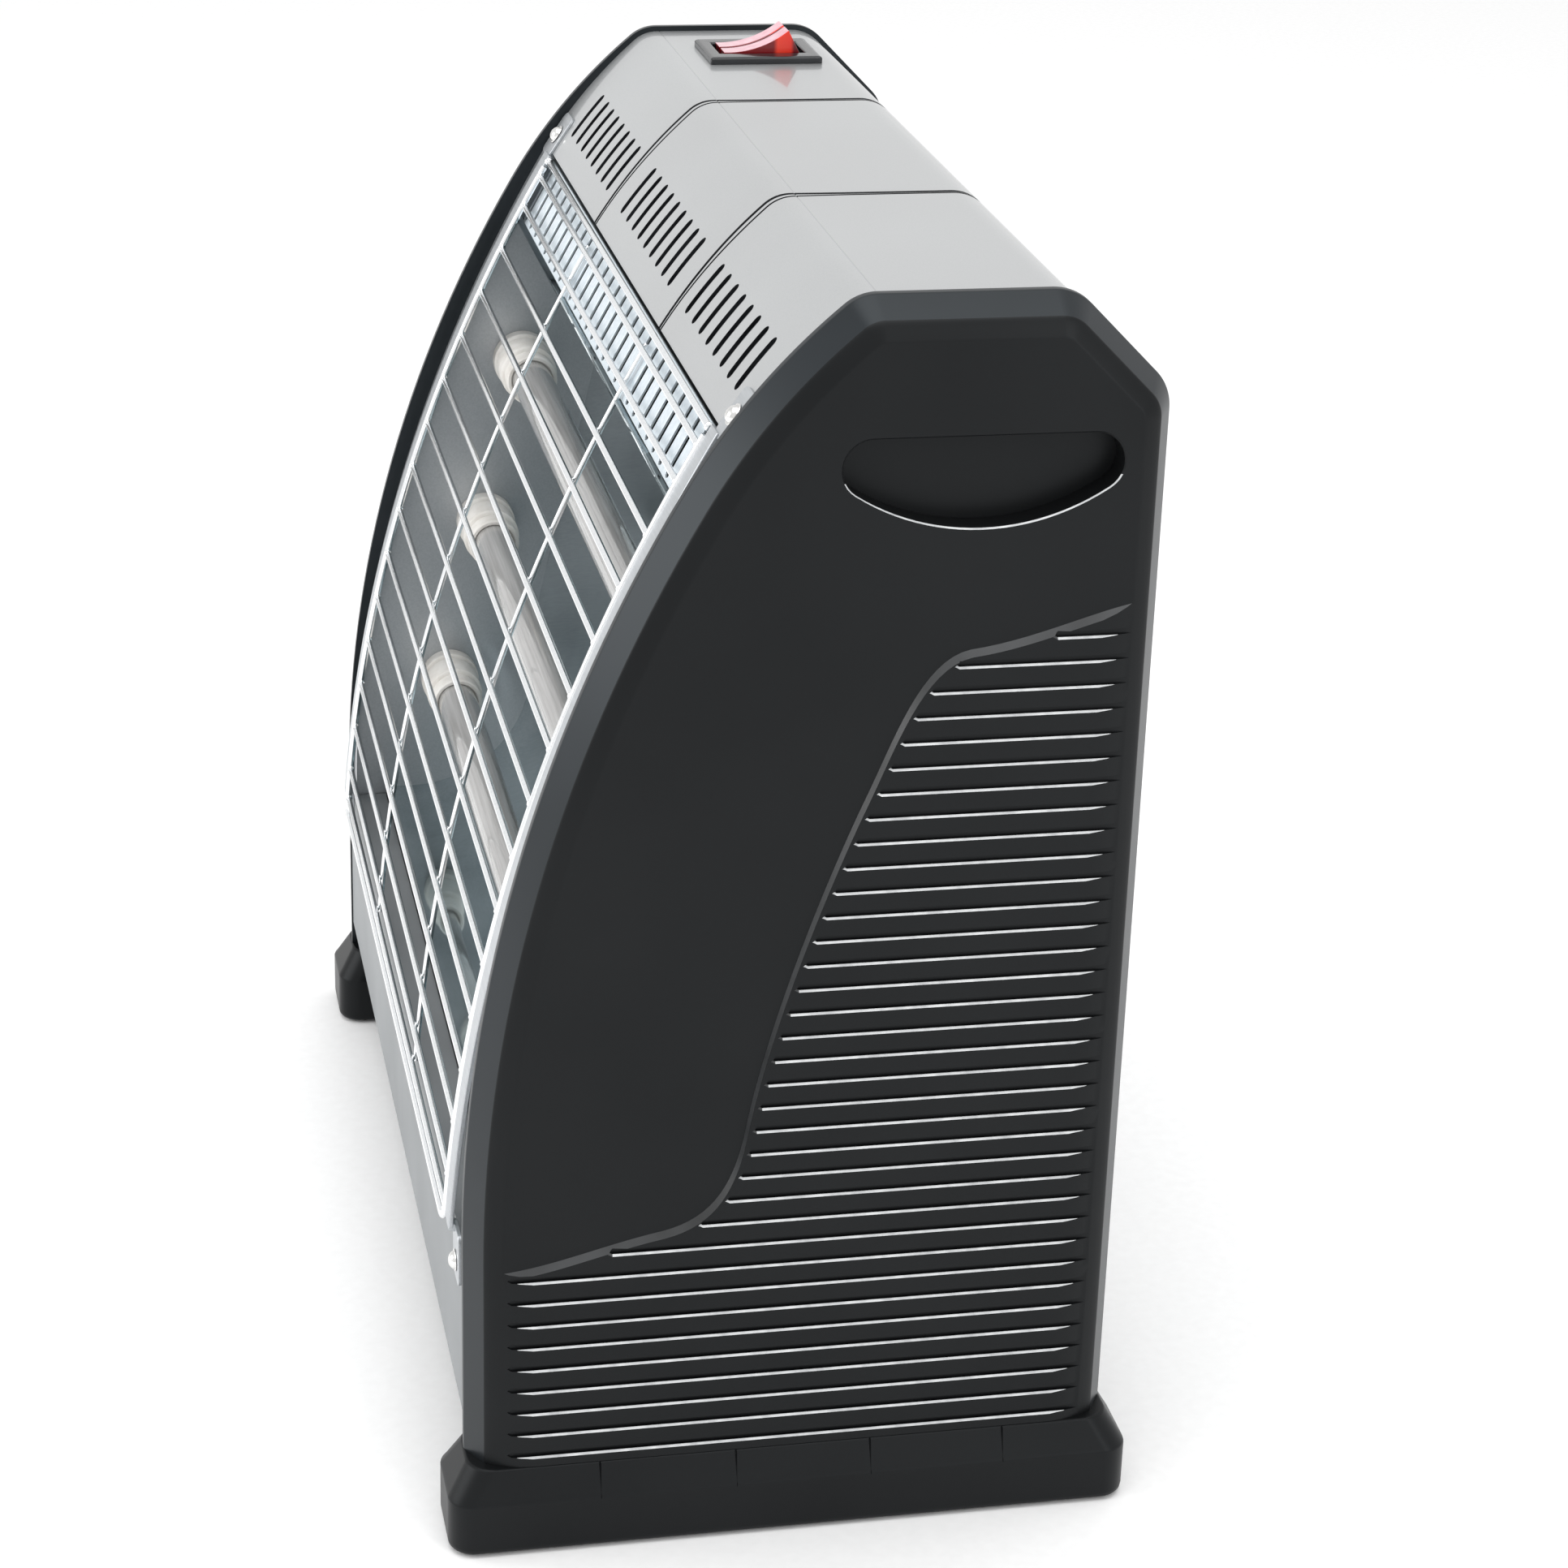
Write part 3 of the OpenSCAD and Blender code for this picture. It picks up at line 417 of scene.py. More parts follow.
panel = loft([[(inner_x + x, y, z) for y, z in rim(inset)] for x, inset in section])
above_step = step + [(-112, 420), (112, 420)]
step_slope = [(plain_x, 0, 0), (plain_x + 3.5, 0.9, -4.6)]
step_cut = loft([[(x, y + dy, z + dz) for y, z in above_step] for x, dy, dz in step_slope])
hold_middle = 328
wide_hold = [
    (hold_y + (y - hold_y) * 1.09, hold_middle + (z - hold_middle) * 1.27) for y, z in hold
]
hold_rows = ((plain_x - hold_depth, hold), (plain_x - 0.45, hold), (plain_x + 3.3, wide_hold))
face_cuts = [loft([[(x, y, z) for y, z in line] for x, line in hold_rows])]
face_cuts += [rib_groove(rib_low + rib_pitch * i) for i in range(rib_count)]
step_dense = []
for a, b in zip(step, step[1:]):
    step_dense += [(a[0] + (b[0] - a[0]) * t / 8, a[1] + (b[1] - a[1]) * t / 8) for t in range(8)]


def near_step(y, z):
    """Whether a place on the panel's face is within about 2.5 of the step."""
    return min((y - a) ** 2 + (z - b) ** 2 for a, b in step_dense) < 6.5


lip_highlight_index, rim_sheen_index, step_highlight_index = 1, 2, 3
for side in ("right", "left"):
    piece = solid("side_panel_moulding_" + side, *handed(side, panel), abs_black, 25)
    carve(piece, [handed(side, step_cut)])
    carve(piece, [handed(side, cut) for cut in face_cuts])
    for extra in (lip_painted_highlight, rim_gloss_painted_sheen, step_painted_highlight):
        piece.data.materials.append(extra)
    # Painted light by face: highlight on the lips and the step's slope, blue-grey sheen on the rim.
    for face in piece.data.polygons:
        out, y, z = (c * 1000 for c in (abs(face.center.x), face.center.y, face.center.z))
        slant, rise = abs(face.normal.x), face.normal.z
        in_hold = 300 < z < 350 and 0 < y < 86
        in_ribs = z < 300 and abs(y) < 93 and abs(face.normal.y) < 0.35 and rise > 0.5
        if out > 189 and 0.2 < slant < 0.95 and near_step(y, z):
            face.material_index = step_highlight_index
        elif slant > 0.4 and (in_ribs or in_hold and rise > 0.4):
            face.material_index = lip_highlight_index
        elif out < 186.3 and not in_hold:
            face.material_index = rim_sheen_index
    soften(piece, 0.22)
    fit(piece, ["side_panel_" + side])

# ---- Feet ----
# Two hollow plinths in the same black ABS, screwed up into the side panels. The top edge is
# chamfered, with four shallow moulded lines across it, and round rubber pads sit in bosses.


def rounded(x0, x1, y0, y1, radius, count):
    """A rectangle's loop of points with count points round each corner."""
    loop = []
    for x, y, start in (
        (x1 - radius, y1 - radius, 0),
        (x0 + radius, y1 - radius, 90),
        (x0 + radius, y0 + radius, 180),
        (x1 - radius, y0 + radius, 270),
    ):
        angles = [radians(start + 90 * i / (count - 1)) for i in range(count)]
        loop += [(x + radius * cos(a), y + radius * sin(a)) for a in angles]
    return loop


def plan(x0, x1, half, radius, z):
    """A rounded rectangle in plan at height z, from x0 to x1 and half each way in y."""
    return [(x, y, z) for x, y in rounded(x0, x1, -half, half, radius, 10)]


def turned(profile, y, z, sides=48, ring=False):
    """Spins an (x, radius) profile about a line along X. A ring joins the profile's ends."""
    angles = [2 * pi * i / sides for i in range(sides)]
    rows = []
    for x, r in profile + profile[:1] * ring:
        rows.append([(x, y + r * cos(a), z + r * sin(a)) for a in angles])
    return loft(rows, caps=not ring)


def upright(shape, x, y, z):
    """Stands a shape that was turned about X on end at (x, y, z)."""
    return [(x + py, y + pz, z + px) for px, py, pz in shape[0]], shape[1]


foot_rows = (
    (168, 187.5, 95, 5, 25),
    (164, 191.5, 101, 5, 18),
    (164, 191.5, 101, 5, 1.6),
    (163.6, 191.9, 101.4, 5.4, 1),
    (162.4, 193.1, 102.6, 6.6, 1),
    (161.7, 193.8, 103.3, 7.3, 1.3),
    (161.2, 194.3, 103.8, 7.8, 2.0),
    (161, 194.5, 104, 8, 3.2),
    (161, 194.5, 104, 8, 17.4),
    (161.2, 194.3, 103.8, 8, 18.1),
    (161.7, 193.8, 103.3, 8, 18.9),
    (164.6, 190.9, 98.4, 8, 27.3),
    (165, 190.5, 98, 8, 27.8),
    (165.6, 189.9, 97.4, 8, 28),
)
foot = loft([plan(*row) for row in foot_rows])
foot_x, screw_y = 177.75, 88
boss = turned([(2, 9.5), (25.5, 9.5)], 0, 0)
bosses = [upright(boss, foot_x, y, 0) for y in (-screw_y, screw_y)]
out_x, out_z = 0.93, 0.37
lines = []
for y in (-59, -18, 23, 64):
    points = []
    for x, z in ((190.2, 28.75), (194.72, 17.45)):
        for up, across in ((0.3, -0.5), (0.3, 0.5), (-0.4, 0)):
            points.append((x + up * out_x, y + across, z + up * out_z))
    lines.append((points, [(0, 1, 2), (3, 5, 4), (0, 3, 4, 1), (1, 4, 5, 2), (2, 5, 3, 0)]))
for side in ("right", "left"):
    shapes = joined([handed(side, shape) for shape in [foot] + bosses])
    piece = solid("plinth_foot_" + side, *shapes, abs_black, 35)
    carve(piece, [handed(side, line) for line in lines])
    soften(piece, 0.25, 35)
    fit(piece, ["foot_" + side])

# Rubber pads: matt black nitrile discs with a turned edge and a ring groove underneath.
rubber, tree, shader, place = finish("moulded nitrile rubber", {"Roughness": 0.75, "IOR": 1.52})
dust = add(tree, "TexNoise", {"Scale": 1 / 0.004, "Detail": 4.0}, {"Vector": place})
tint = add(
    tree, "ValToRGB", {"stops": ((0.4, "#151515"), (0.75, "#242322"))}, {"Fac": dust.outputs["Fac"]}
)
join(tree, shader, tint)
pad_profile = [(3, 0.01), (3, 6.9), (0.8, 6.9), (0.2, 6.4), (0, 5.6), (0, 4.4)]
pad_profile += [(0.4, 4.2), (0.4, 3.6), (0, 3.4), (0, 0.01)]
pad = turned(pad_profile, 0, 0, ring=True)
pads = joined([upright(pad, foot_x, y, 0) for y in (-screw_y, screw_y)])
pads = solid("rubber_foot_pads", *joined((pads, mirrored(pads))), rubber)
fit(pads, ["foot_pads"])

# ---- Top cover ----
# One sheet of 1.2 mm steel, rolled to the guard's line at the front, folded flat on top and
# bevelled at the back, with three rows of vent slots and two pressed lines, then painted.

brow_centre, brow_radius = (117.6, 248.5), 167
cover_fold, cover_top, cover_sheet = (14.894, 364.588), 376.588, 1.2


def cover_line(depth):
    """The cover's section (y, z) at a depth below its outer face."""
    top = cover_top - depth
    inset = 15 - (1.736 + depth)
    return (
        arc(brow_centre, brow_radius - depth, 32, 48.3, 22)
        + arc(cover_fold, 12 - depth, 49.5, 90, 10)
        + [(15.7, top), (15.95, 376.4 - depth), (16.2, top)]
        + [(22 + 7.5 * i, top) for i in range(6)]
        + arc((63.471, 363.324), inset, 90, 135, 8)
        + arc((83, 343.787), inset, 135, 180, 8)
    )


# Each pressed line is a pair of fine grooves that part a little round the brow.
line_x, press_depth = 62.5, 0.75
stations = []
for start, pitch in ((-175, 17.4), (-52, 17.334), (70.6, 17.4)):
    stations += [(start + pitch * i, 0, 0, 0) for i in range(7)]
for centre in (-line_x, line_x):
    for way, width in ((-1, 1.7), (1, 1.1)):
        for t, press in ((-0.6, 0), (-0.5, press_depth), (0.5, press_depth), (0.6, 0)):
            stations.append((centre, way, t * width, press))
stations.sort(key=lambda row: row[0] + row[1] + row[2] / 10)
rows = []
for x, way, shift, press in stations:
    outer, inner = [], []
    for face, hidden in zip(cover_line(press), cover_line(cover_sheet + press)):
        part = 0.95 + 0.95 * exp(-(((face[0] - 2) / 17) ** 2))
        outer.append((x + way * part + shift, *face))
        inner.append((x + way * part + shift, *hidden))
    rows.append(outer + inner[::-1])


def on_cover(x, angle, across, along, up):
    """A point on the cover's rolled brow: across in X, along its curve, and up off it."""
    a = radians(angle) + along / brow_radius
    r = brow_radius + up
    return (x + across, brow_centre[0] - r * cos(a), brow_centre[1] + r * sin(a))


outer_face = [Vector((0, y / 1000, z / 1000)) for y, z in cover_line(0)]


def depth_below(spot):
    """How far a point (in metres) lies from the cover's outer face, in millimetres."""
    spot = Vector((0, spot[1], spot[2]))
    gaps = []
    for a, b in zip(outer_face, outer_face[1:]):
        t = intersect_point_line(spot, a, b)[1]
        gaps.append((spot - a.lerp(b, min(max(t, 0), 1))).length)
    return min(gaps) * 1000


slot_half, slot_reach, slot_pitch = 1.9, 7.3, 11


def slot_cutter(x):
    """A long slot with round ends, 3.8 by 18.4, through the brow."""
    loop = []
    for end in (0, 180):
        middle = slot_reach if end == 0 else -slot_reach
        for t in range(end, end + 181, 20):
            loop.append((slot_half * cos(radians(t)), middle + slot_half * sin(radians(t))))
    return loft([[on_cover(x, 38.45, a, b, up) for a, b in loop] for up in (-3, 3)])


# Silver polyester paint with aluminium flake, satin: flakes of about 0.1 mm are drawn at 0.4 mm
# so that they show, and a faint orange peel of 3 mm softens what the sheet mirrors.
paint, tree, shader, place = finish(
    "baked silver flake paint",
    {"Metallic": 0.6, "IOR": 1.5, "Coat Weight": 0.7, "Coat Roughness": 0.07, "Coat IOR": 1.5},
)
flake = add(tree, "TexVoronoi", {"Scale": 1 / 0.0004}, {"Vector": place})
cloud = add(tree, "TexNoise", {"Scale": 1 / 0.09, "Detail": 2.0}, {"Vector": place})
mix = add(tree, "Mix", {"data_type": "RGBA", "Factor": 0.5})
for end, stops, source in (
    ("A", ((0.0, "#b7b9ba"), (0.8, "#a8abac")), flake.outputs["Distance"]),
    ("B", ((0.35, "#aaabac"), (0.65, "#b2b4b5")), cloud.outputs["Fac"]),
):
    tint = add(tree, "ValToRGB", {"stops": stops}, {"Fac": source})
    tree.links.new(tint.outputs["Color"], mix.inputs[end])
tree.links.new(mix.outputs["Result"], shader.inputs["Base Color"])
gloss = add(tree, "MapRange", {"To Min": 0.34, "To Max": 0.44}, {"Value": cloud.outputs["Fac"]})
tree.links.new(gloss.outputs["Result"], shader.inputs["Roughness"])
peel = add(tree, "TexNoise", {"Scale": 1 / 0.003, "Detail": 1.0}, {"Vector": place})
skin = add(tree, "Bump", {"Strength": 0.05, "Distance": 0.00005}, {"Height": peel.outputs["Fac"]})
tree.links.new(skin.outputs["Normal"], shader.inputs["Normal"])

# Painted shade: the walls of the pressed-line grooves and of the slots are coloured near black.
groove_painted_shade, tree, shader, place = finish(
    "painted shade, near black", {"Roughness": 0.35, "Specular IOR Level": 0.3}
)
groove_shade_noise = add(tree, "TexNoise", {"Scale": 1 / 0.01, "Detail": 2.0}, {"Vector": place})
tint = add(
    tree, "ValToRGB", {"stops": ((0.3, "#101113"), (0.7, "#26282b"))}, {"Fac": groove_shade_noise.outputs["Fac"]}
)
join(tree, shader, tint)

cover = solid("painted_top_cover", *loft(rows), paint, 30)
switch_x, switch_y = -134, 43.3
slots = [slot_cutter(slot_pitch * i) for i in range(-4, 5)]
slots += [slot_cutter(s * (74.5 + slot_pitch * i)) for s in (-1, 1) for i in range(8)]
hole = loft([plan(switch_x - 12, switch_x + 12, 16, 1, z) for z in (370, 380)])
slots.append(([(x, y + switch_y, z) for x, y, z in hole[0]], hole[1]))
carve(cover, slots)
cover.data.materials.append(groove_painted_shade)
# Painted shade: faces in the pressed lines and on the slot walls get the near-black colour.
for face in cover.data.polygons:
    near_line = abs(abs(face.center.x) * 1000 - line_x) < 4
    in_slots = face.center.y < -0.001 and abs(face.center.x) < 0.16 and abs(face.normal.x) > 0.2
    face.material_index = int((near_line or in_slots) and 0.05 < depth_below(face.center) < 1.0)
soften(cover, 0.12, 35)
fit(cover, ["top_cover"])

# ---- Rear cover, lower front panel and bottom plate ----
# Flat steel sheets. The rear cover is painted like the top, the lower front panel has a flatter
# silver, and the bottom plate is bare zinc.


def dress(names, material):
    """Gives CAD nodes a material."""
    for name in names:
        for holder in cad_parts[name].material_slots:
            holder.material = material


# The lower panel's paint has no clear coat: the same silver, but flatter and darker.
dull = {"Metallic": 0.75, "Specular IOR Level": 0.2, "Roughness": 0.48}
low_paint, tree, shader, place = finish("flat silver flake paint", dull)
drift = add(tree, "TexNoise", {"Scale": 1 / 0.05, "Detail": 2.0}, {"Vector": place})
tint = add(
    tree, "ValToRGB", {"stops": ((0.3, "#8b8e90"), (0.7, "#979a9c"))}, {"Fac": drift.outputs["Fac"]}
)
join(tree, shader, tint)

# Hot-dip zinc, passivated: dull grey with a spangle of about 6 mm in slightly different greys.
zinc, tree, shader, place = finish("spangled zinc plate", {"Metallic": 0.9})
spangle = add(tree, "TexVoronoi", {"Scale": 1 / 0.006}, {"Vector": place})
tint = add(
    tree,
    "ValToRGB",
    {"stops": ((0.2, "#8f9294"), (0.8, "#a9acad"))},
    {"Fac": spangle.outputs["Color"]},
)
gloss = add(
    tree, "MapRange", {"To Min": 0.38, "To Max": 0.55}, {"Value": spangle.outputs["Distance"]}
)
join(tree, shader, tint, gloss)
dress(["rear_cover"], paint)
dress(["lower_front_panel"], low_paint)
dress(["bottom_plate", "tilt_pendulum"], zinc)

# ---- End plates ----
# Bright-rolled steel plates that close the heating chamber. Each carries the tubes' ceramic
# caps and has a flange along its front that shows as a white line beside the black rim.

guard_centre, guard_radius = (460.3, 54.1), 562.1
plate_x, plate_sheet, plate_foot = 163, 1.2, 39.4


def flange_line(depth):
    """The flange's front line (y, z): along the rim low down, then along the guard."""
    low = arc(belly_centre, 457.2 - depth, 0, 5, 8)
    high = arc(guard_centre, 561 - depth, 8.9, 30.2, 40)
    return [(-96.2 + depth, plate_foot), (-96.2 + depth, 70)] + low + high


# Bright-rolled ferritic steel, brushed a little by handling: satin, with rolling lines 0.6 mm
# apart across the strip that stretch the highlights.
rolled, tree, shader, place = finish("bright rolled strip steel", {"Metallic": 0.85})
grain_way = add(tree, "Mapping", {"Scale": (1 / 0.012, 1 / 0.0006, 1 / 0.0006)}, {"Vector": place})
rolling = add(
    tree, "TexNoise", {"Scale": 1.0, "Detail": 3.0}, {"Vector": grain_way.outputs["Vector"]}
)
tint = add(
    tree,
    "ValToRGB",
    {"stops": ((0.3, "#b2b6b9"), (0.7, "#bec1c4"))},
    {"Fac": rolling.outputs["Fac"]},
)
gloss = add(tree, "MapRange", {"To Min": 0.36, "To Max": 0.42}, {"Value": rolling.outputs["Fac"]})
join(tree, shader, tint, gloss)
plate = (
    flange_line(0)
    + arc(brow_centre, 165.4, 32.5, 48.3, 10)
    + arc(cover_fold, 10.4, 49.5, 90, 8)
    + arc((63.471, 363.324), 11.66, 90, 135, 6)
    + arc((83, 343.787), 11.66, 135, 180, 6)
    + [(94.66, plate_foot)]
)
flange = flange_line(0) + flange_line(plate_sheet)[::-1]
lug = arc(brow_centre, 165.8, 32.8, 39, 10) + arc(brow_centre, 164.6, 32.8, 39, 10)[::-1]
rear_lug = [(92.7, 60), (93.9, 60), (93.9, 335), (92.7, 335)]
end_plate = joined(
    [
        prism(plate, plate_x, 164.2),
        prism(flange, 163.3, 174.9),
        prism(lug, 163.3, 174.9),
        prism(rear_lug, 153, 163.5),
    ]
)
for side in ("right", "left"):
    piece = solid("bright_end_plate_" + side, *handed(side, end_plate), rolled)
    fit(soften(piece, 0.15, 40, 1), ["end_plate_" + side])

# ---- Reflector and its canopy ----
# Polished aluminium sheet bent round behind the tubes, and a slotted strip under the cover that
# lets hot air out in front of them.

tube_heights = (262, 201.5, 141)
tube_slope = 0.2231
lean = atan(tube_slope)


def tube_y(z):
    """Where the leaning row of tubes stands at a height."""
    return -34.5 - (tube_heights[0] - z) * tube_slope


def bend(radius, z):
    """The centre of a bend that runs into the flat back of the reflector."""
    return (tube_y(z + radius * sin(lean)) + 27 - radius * cos(lean), z)


def mirror_line(depth):
    """The reflector's section (y, z) at a depth behind its bright face."""
    low, high, tilt = bend(45, 142.5), bend(25, 288), degrees(lean)
    return (
        [(-85.3, 97.5 - depth)]
        + arc(low, 45 + depth, 270, 180 - tilt, 36)
        + arc(high, 25 + depth, 180 - tilt, 90, 28)
        + [(-36.6, 313 + depth)]
    )


# Polished aluminium: a mirror with a bluish cast, hazed by heat in patches, and
# slightly wavy because the sheet is thin.
mirror, tree, shader, place = finish("polished aluminium reflector", {"Metallic": 1.0})
haze = add(
    tree, "TexNoise", {"Scale": 1 / 0.07, "Detail": 3.0, "Roughness": 0.6}, {"Vector": place}
)
tint = add(
    tree,
    "ValToRGB",
    {"stops": ((0.3, "#7f8e93"), (0.5, "#9dabaf"), (0.7, "#b4bfc3"))},
    {"Fac": haze.outputs["Fac"]},
)
gloss = add(
    tree,
    "MapRange",
    {"From Min": 0.3, "From Max": 0.7, "To Min": 0.02, "To Max": 0.06},
    {"Value": haze.outputs["Fac"]},
)
wave_way = add(tree, "Mapping", {"Scale": (1 / 0.09, 1 / 0.03, 1 / 0.03)}, {"Vector": place})
wave = add(tree, "TexNoise", {"Scale": 1.0, "Detail": 1.0}, {"Vector": wave_way.outputs["Vector"]})
dent = add(tree, "Bump", {"Strength": 0.5, "Distance": 0.0006}, {"Height": wave.outputs["Fac"]})
join(tree, shader, tint, gloss, dent)
sheet = mirror_line(0) + mirror_line(0.8)[::-1]
reflector = solid("polished_reflector", *prism(sheet, -plate_x, plate_x), mirror, 40)
fit(reflector, ["reflector"])


def on_guard(angle, up=0.0):
    """The guard's curve (y, z) at an angle, lifted outwards by up."""
    a = radians(angle)
    r = guard_radius + up
    return (guard_centre[0] - r * cos(a), guard_centre[1] + r * sin(a))


# Etched aluminium: fine and matt, so it stays pale blue-white at every angle.
etched, tree, shader, place = finish("etched aluminium", {"Metallic": 0.7})
etch = add(tree, "TexNoise", {"Scale": 1 / 0.0015, "Detail": 3.0}, {"Vector": place})
tint = add(
    tree, "ValToRGB", {"stops": ((0.3, "#dbe5ec"), (0.7, "#eaf1f5"))}, {"Fac": etch.outputs["Fac"]}
)
gloss = add(tree, "MapRange", {"To Min": 0.4, "To Max": 0.5}, {"Value": etch.outputs["Fac"]})
join(tree, shader, tint, gloss)

canopy_low, canopy_high = 27.55, 30.05
canopy_line = [on_guard(canopy_low + 2.5 * i / 10, -3.2) for i in range(11)]
canopy_line += [on_guard(canopy_high - 2.5 * i / 10, -4) for i in range(11)]
canopy = solid("slotted_canopy", *prism(canopy_line, -plate_x, plate_x), etched, 40)
louvre = ((-1.9, -9.6), (0, -10.4), (1.9, -9.6), (1.9, 9.6), (0, 10.4), (-1.9, 9.6))
louvre_pitch, louvre_count = 11.6, 28
cutters = []
for i in range(louvre_count):
    x = (i - (louvre_count - 1) / 2) * louvre_pitch
    loops = [[(x + a, *on_guard(28.8 + b / 9.81, up)) for a, b in louvre] for up in (-6, -1)]
    cutters.append(loft(loops))
carve(canopy, cutters)
fit(soften(canopy, 0.12, 35, 1), ["reflector_canopy"])

# ---- Quartz tubes, coils and ceramic caps ----
# Three tubes of drawn quartz, each round a loose coil of resistance wire. Turned steatite caps
# close the ends, and brass contact pins come out through the end plates.

# Drawn milky quartz: clear glass full of fine bubbles drawn out along the tube, so it scatters
# light and shows its coil only faintly.
quartz, tree, shader, place = finish(
    "drawn milky quartz",
    {"IOR": 1.46, "Transmission Weight": 0.4, "Coat Weight": 1.0, "Coat Roughness": 0.04},
)
streak_way = add(tree, "Mapping", {"Scale": (1 / 0.05, 1 / 0.0012, 1 / 0.0012)}, {"Vector": place})
streak = add(
    tree, "TexNoise", {"Scale": 1.0, "Detail": 3.0}, {"Vector": streak_way.outputs["Vector"]}
)
tint = add(
    tree,
    "ValToRGB",
    {"stops": ((0.3, "#b3b1af"), (0.7, "#d6d5d3"))},
    {"Fac": streak.outputs["Fac"]},
)
gloss = add(tree, "MapRange", {"To Min": 0.12, "To Max": 0.3}, {"Value": streak.outputs["Fac"]})
join(tree, shader, tint, gloss)

# Resistance wire: nickel-chrome that has been hot, so its oxide is a matt brown-grey.
nichrome, tree, shader, place = finish("oxidised nickel-chrome wire", {"Metallic": 0.8})
oxide = add(tree, "TexNoise", {"Scale": 1 / 0.006, "Detail": 3.0}, {"Vector": place})
tint = add(
    tree, "ValToRGB", {"stops": ((0.3, "#4a423c"), (0.7, "#7b736c"))}, {"Fac": oxide.outputs["Fac"]}
)
gloss = add(tree, "MapRange", {"To Min": 0.4, "To Max": 0.65}, {"Value": oxide.outputs["Fac"]})
join(tree, shader, tint, gloss)

# Steatite: pressed soapstone, fired and unglazed. Off-white and matt, stained brown in patches.
steatite, tree, shader, place = finish("fired unglazed steatite", {"IOR": 1.55, "Roughness": 0.62})
stain = add(
    tree, "TexNoise", {"Scale": 1 / 0.009, "Detail": 5.0, "Roughness": 0.65}, {"Vector": place}
)
tint = add(
    tree,
    "ValToRGB",
    {"stops": ((0.3, "#d8d3cc"), (0.55, "#e8e5e0"), (0.75, "#efedea"))},
    {"Fac": stain.outputs["Fac"]},
)
pores = add(tree, "TexNoise", {"Scale": 1 / 0.0007, "Detail": 2.0}, {"Vector": place})
skin = add(tree, "Bump", {"Strength": 0.25, "Distance": 0.00008}, {"Height": pores.outputs["Fac"]})
join(tree, shader, tint, skin=skin)


def swept(path, radius, sides=12):
    """A round wire along a path of points, with closed ends."""
    path = [Vector(p) for p in path]
    rows = []
    side = None
    for i, p in enumerate(path):
        way = (path[min(i + 1, len(path) - 1)] - path[max(i - 1, 0)]).normalized()
        side = way.orthogonal() if side is None else side - way * side.dot(way)
        side.normalize()
        over = way.cross(side)
        turns = [2 * pi * k / sides for k in range(sides)]
        rows.append([tuple(p + radius * (cos(t) * side + sin(t) * over)) for t in turns])
    return loft(rows)


cap_profile = [(138, 7.06), (135.6, 7.06), (135, 7.6), (135, 8.4), (135.6, 9), (141.2, 9)]
cap_profile += [(141.5, 8.1), (142.8, 8.1), (143, 9.4), (143.6, 10), (154.9, 10), (155.5, 9.4)]
cap_profile += [(155.6, 8.2), (156.9, 8.2), (157.1, 10), (157.6, 10.5), (162.4, 10.5), (163, 10.2)]
cap_profile += [(163, 8), (166.4, 8), (167, 7.4), (167, 1.3), (148.2, 1.3), (148.2, 7.06)]
pin_profile = [(139, 0.01), (139, 1.2), (169, 1.2), (170, 0.5), (170, 0.01)]
tube_profile = [(-148, 6.3), (-147.6, 7), (147.6, 7), (148, 6.3), (147.8, 5.8), (-147.8, 5.8)]
coil_turns, coil_radius, coil_wire, coil_steps = 118, 3.1, 0.38, 12
coil_half, lead_end = 134, 142
for i, z in enumerate(tube_heights):
    y = tube_y(z)
    name = str(i + 1)
    glass = turned(tube_profile, y, z, 64, ring=True)
    tube = solid("quartz_tube_drawn_" + name, *glass, quartz, 40)
    fit(tube, ["quartz_tube_" + name])
    helix = [(-lead_end, y, z)]
    for k in range(coil_turns * coil_steps + 1):
        a = 2 * pi * k / coil_steps
        x = -coil_half + 2 * coil_half * k / (coil_turns * coil_steps)
        helix.append((x, y + coil_radius * cos(a), z + coil_radius * sin(a)))
    helix.append((lead_end, y, z))
    coil = solid("resistance_coil_" + name, *swept(helix, coil_wire, 6), nichrome, 60)
    fit(coil, ["heating_coil_" + name])
caps = joined([turned(cap_profile, tube_y(z), z, 48, ring=True) for z in tube_heights])
for side in ("right", "left"):
    cap = solid("steatite_caps_" + side, *handed(side, caps), steatite, 40)
    fit(cap, ["ceramic_caps_" + side])

# Brass: drawn and tumbled, warm yellow with a slight tarnish.
brass, tree, shader, place = finish("tumbled brass", {"Metallic": 1.0})
tarnish = add(tree, "TexNoise", {"Scale": 1 / 0.003, "Detail": 3.0}, {"Vector": place})
tint = add(
    tree,
    "ValToRGB",
    {"stops": ((0.3, "#a5813f"), (0.7, "#cfab62"))},
    {"Fac": tarnish.outputs["Fac"]},
)
gloss = add(tree, "MapRange", {"To Min": 0.25, "To Max": 0.45}, {"Value": tarnish.outputs["Fac"]})
join(tree, shader, tint, gloss)
pins = joined([turned(pin_profile, tube_y(z), z, 20) for z in tube_heights])
for side in ("right", "left"):
    pin = solid("brass_contact_pins_" + side, *handed(side, pins), brass, 40)
    fit(pin, ["contact_pins_" + side])
dress(["switch_terminals", "terminal_screws"], brass)
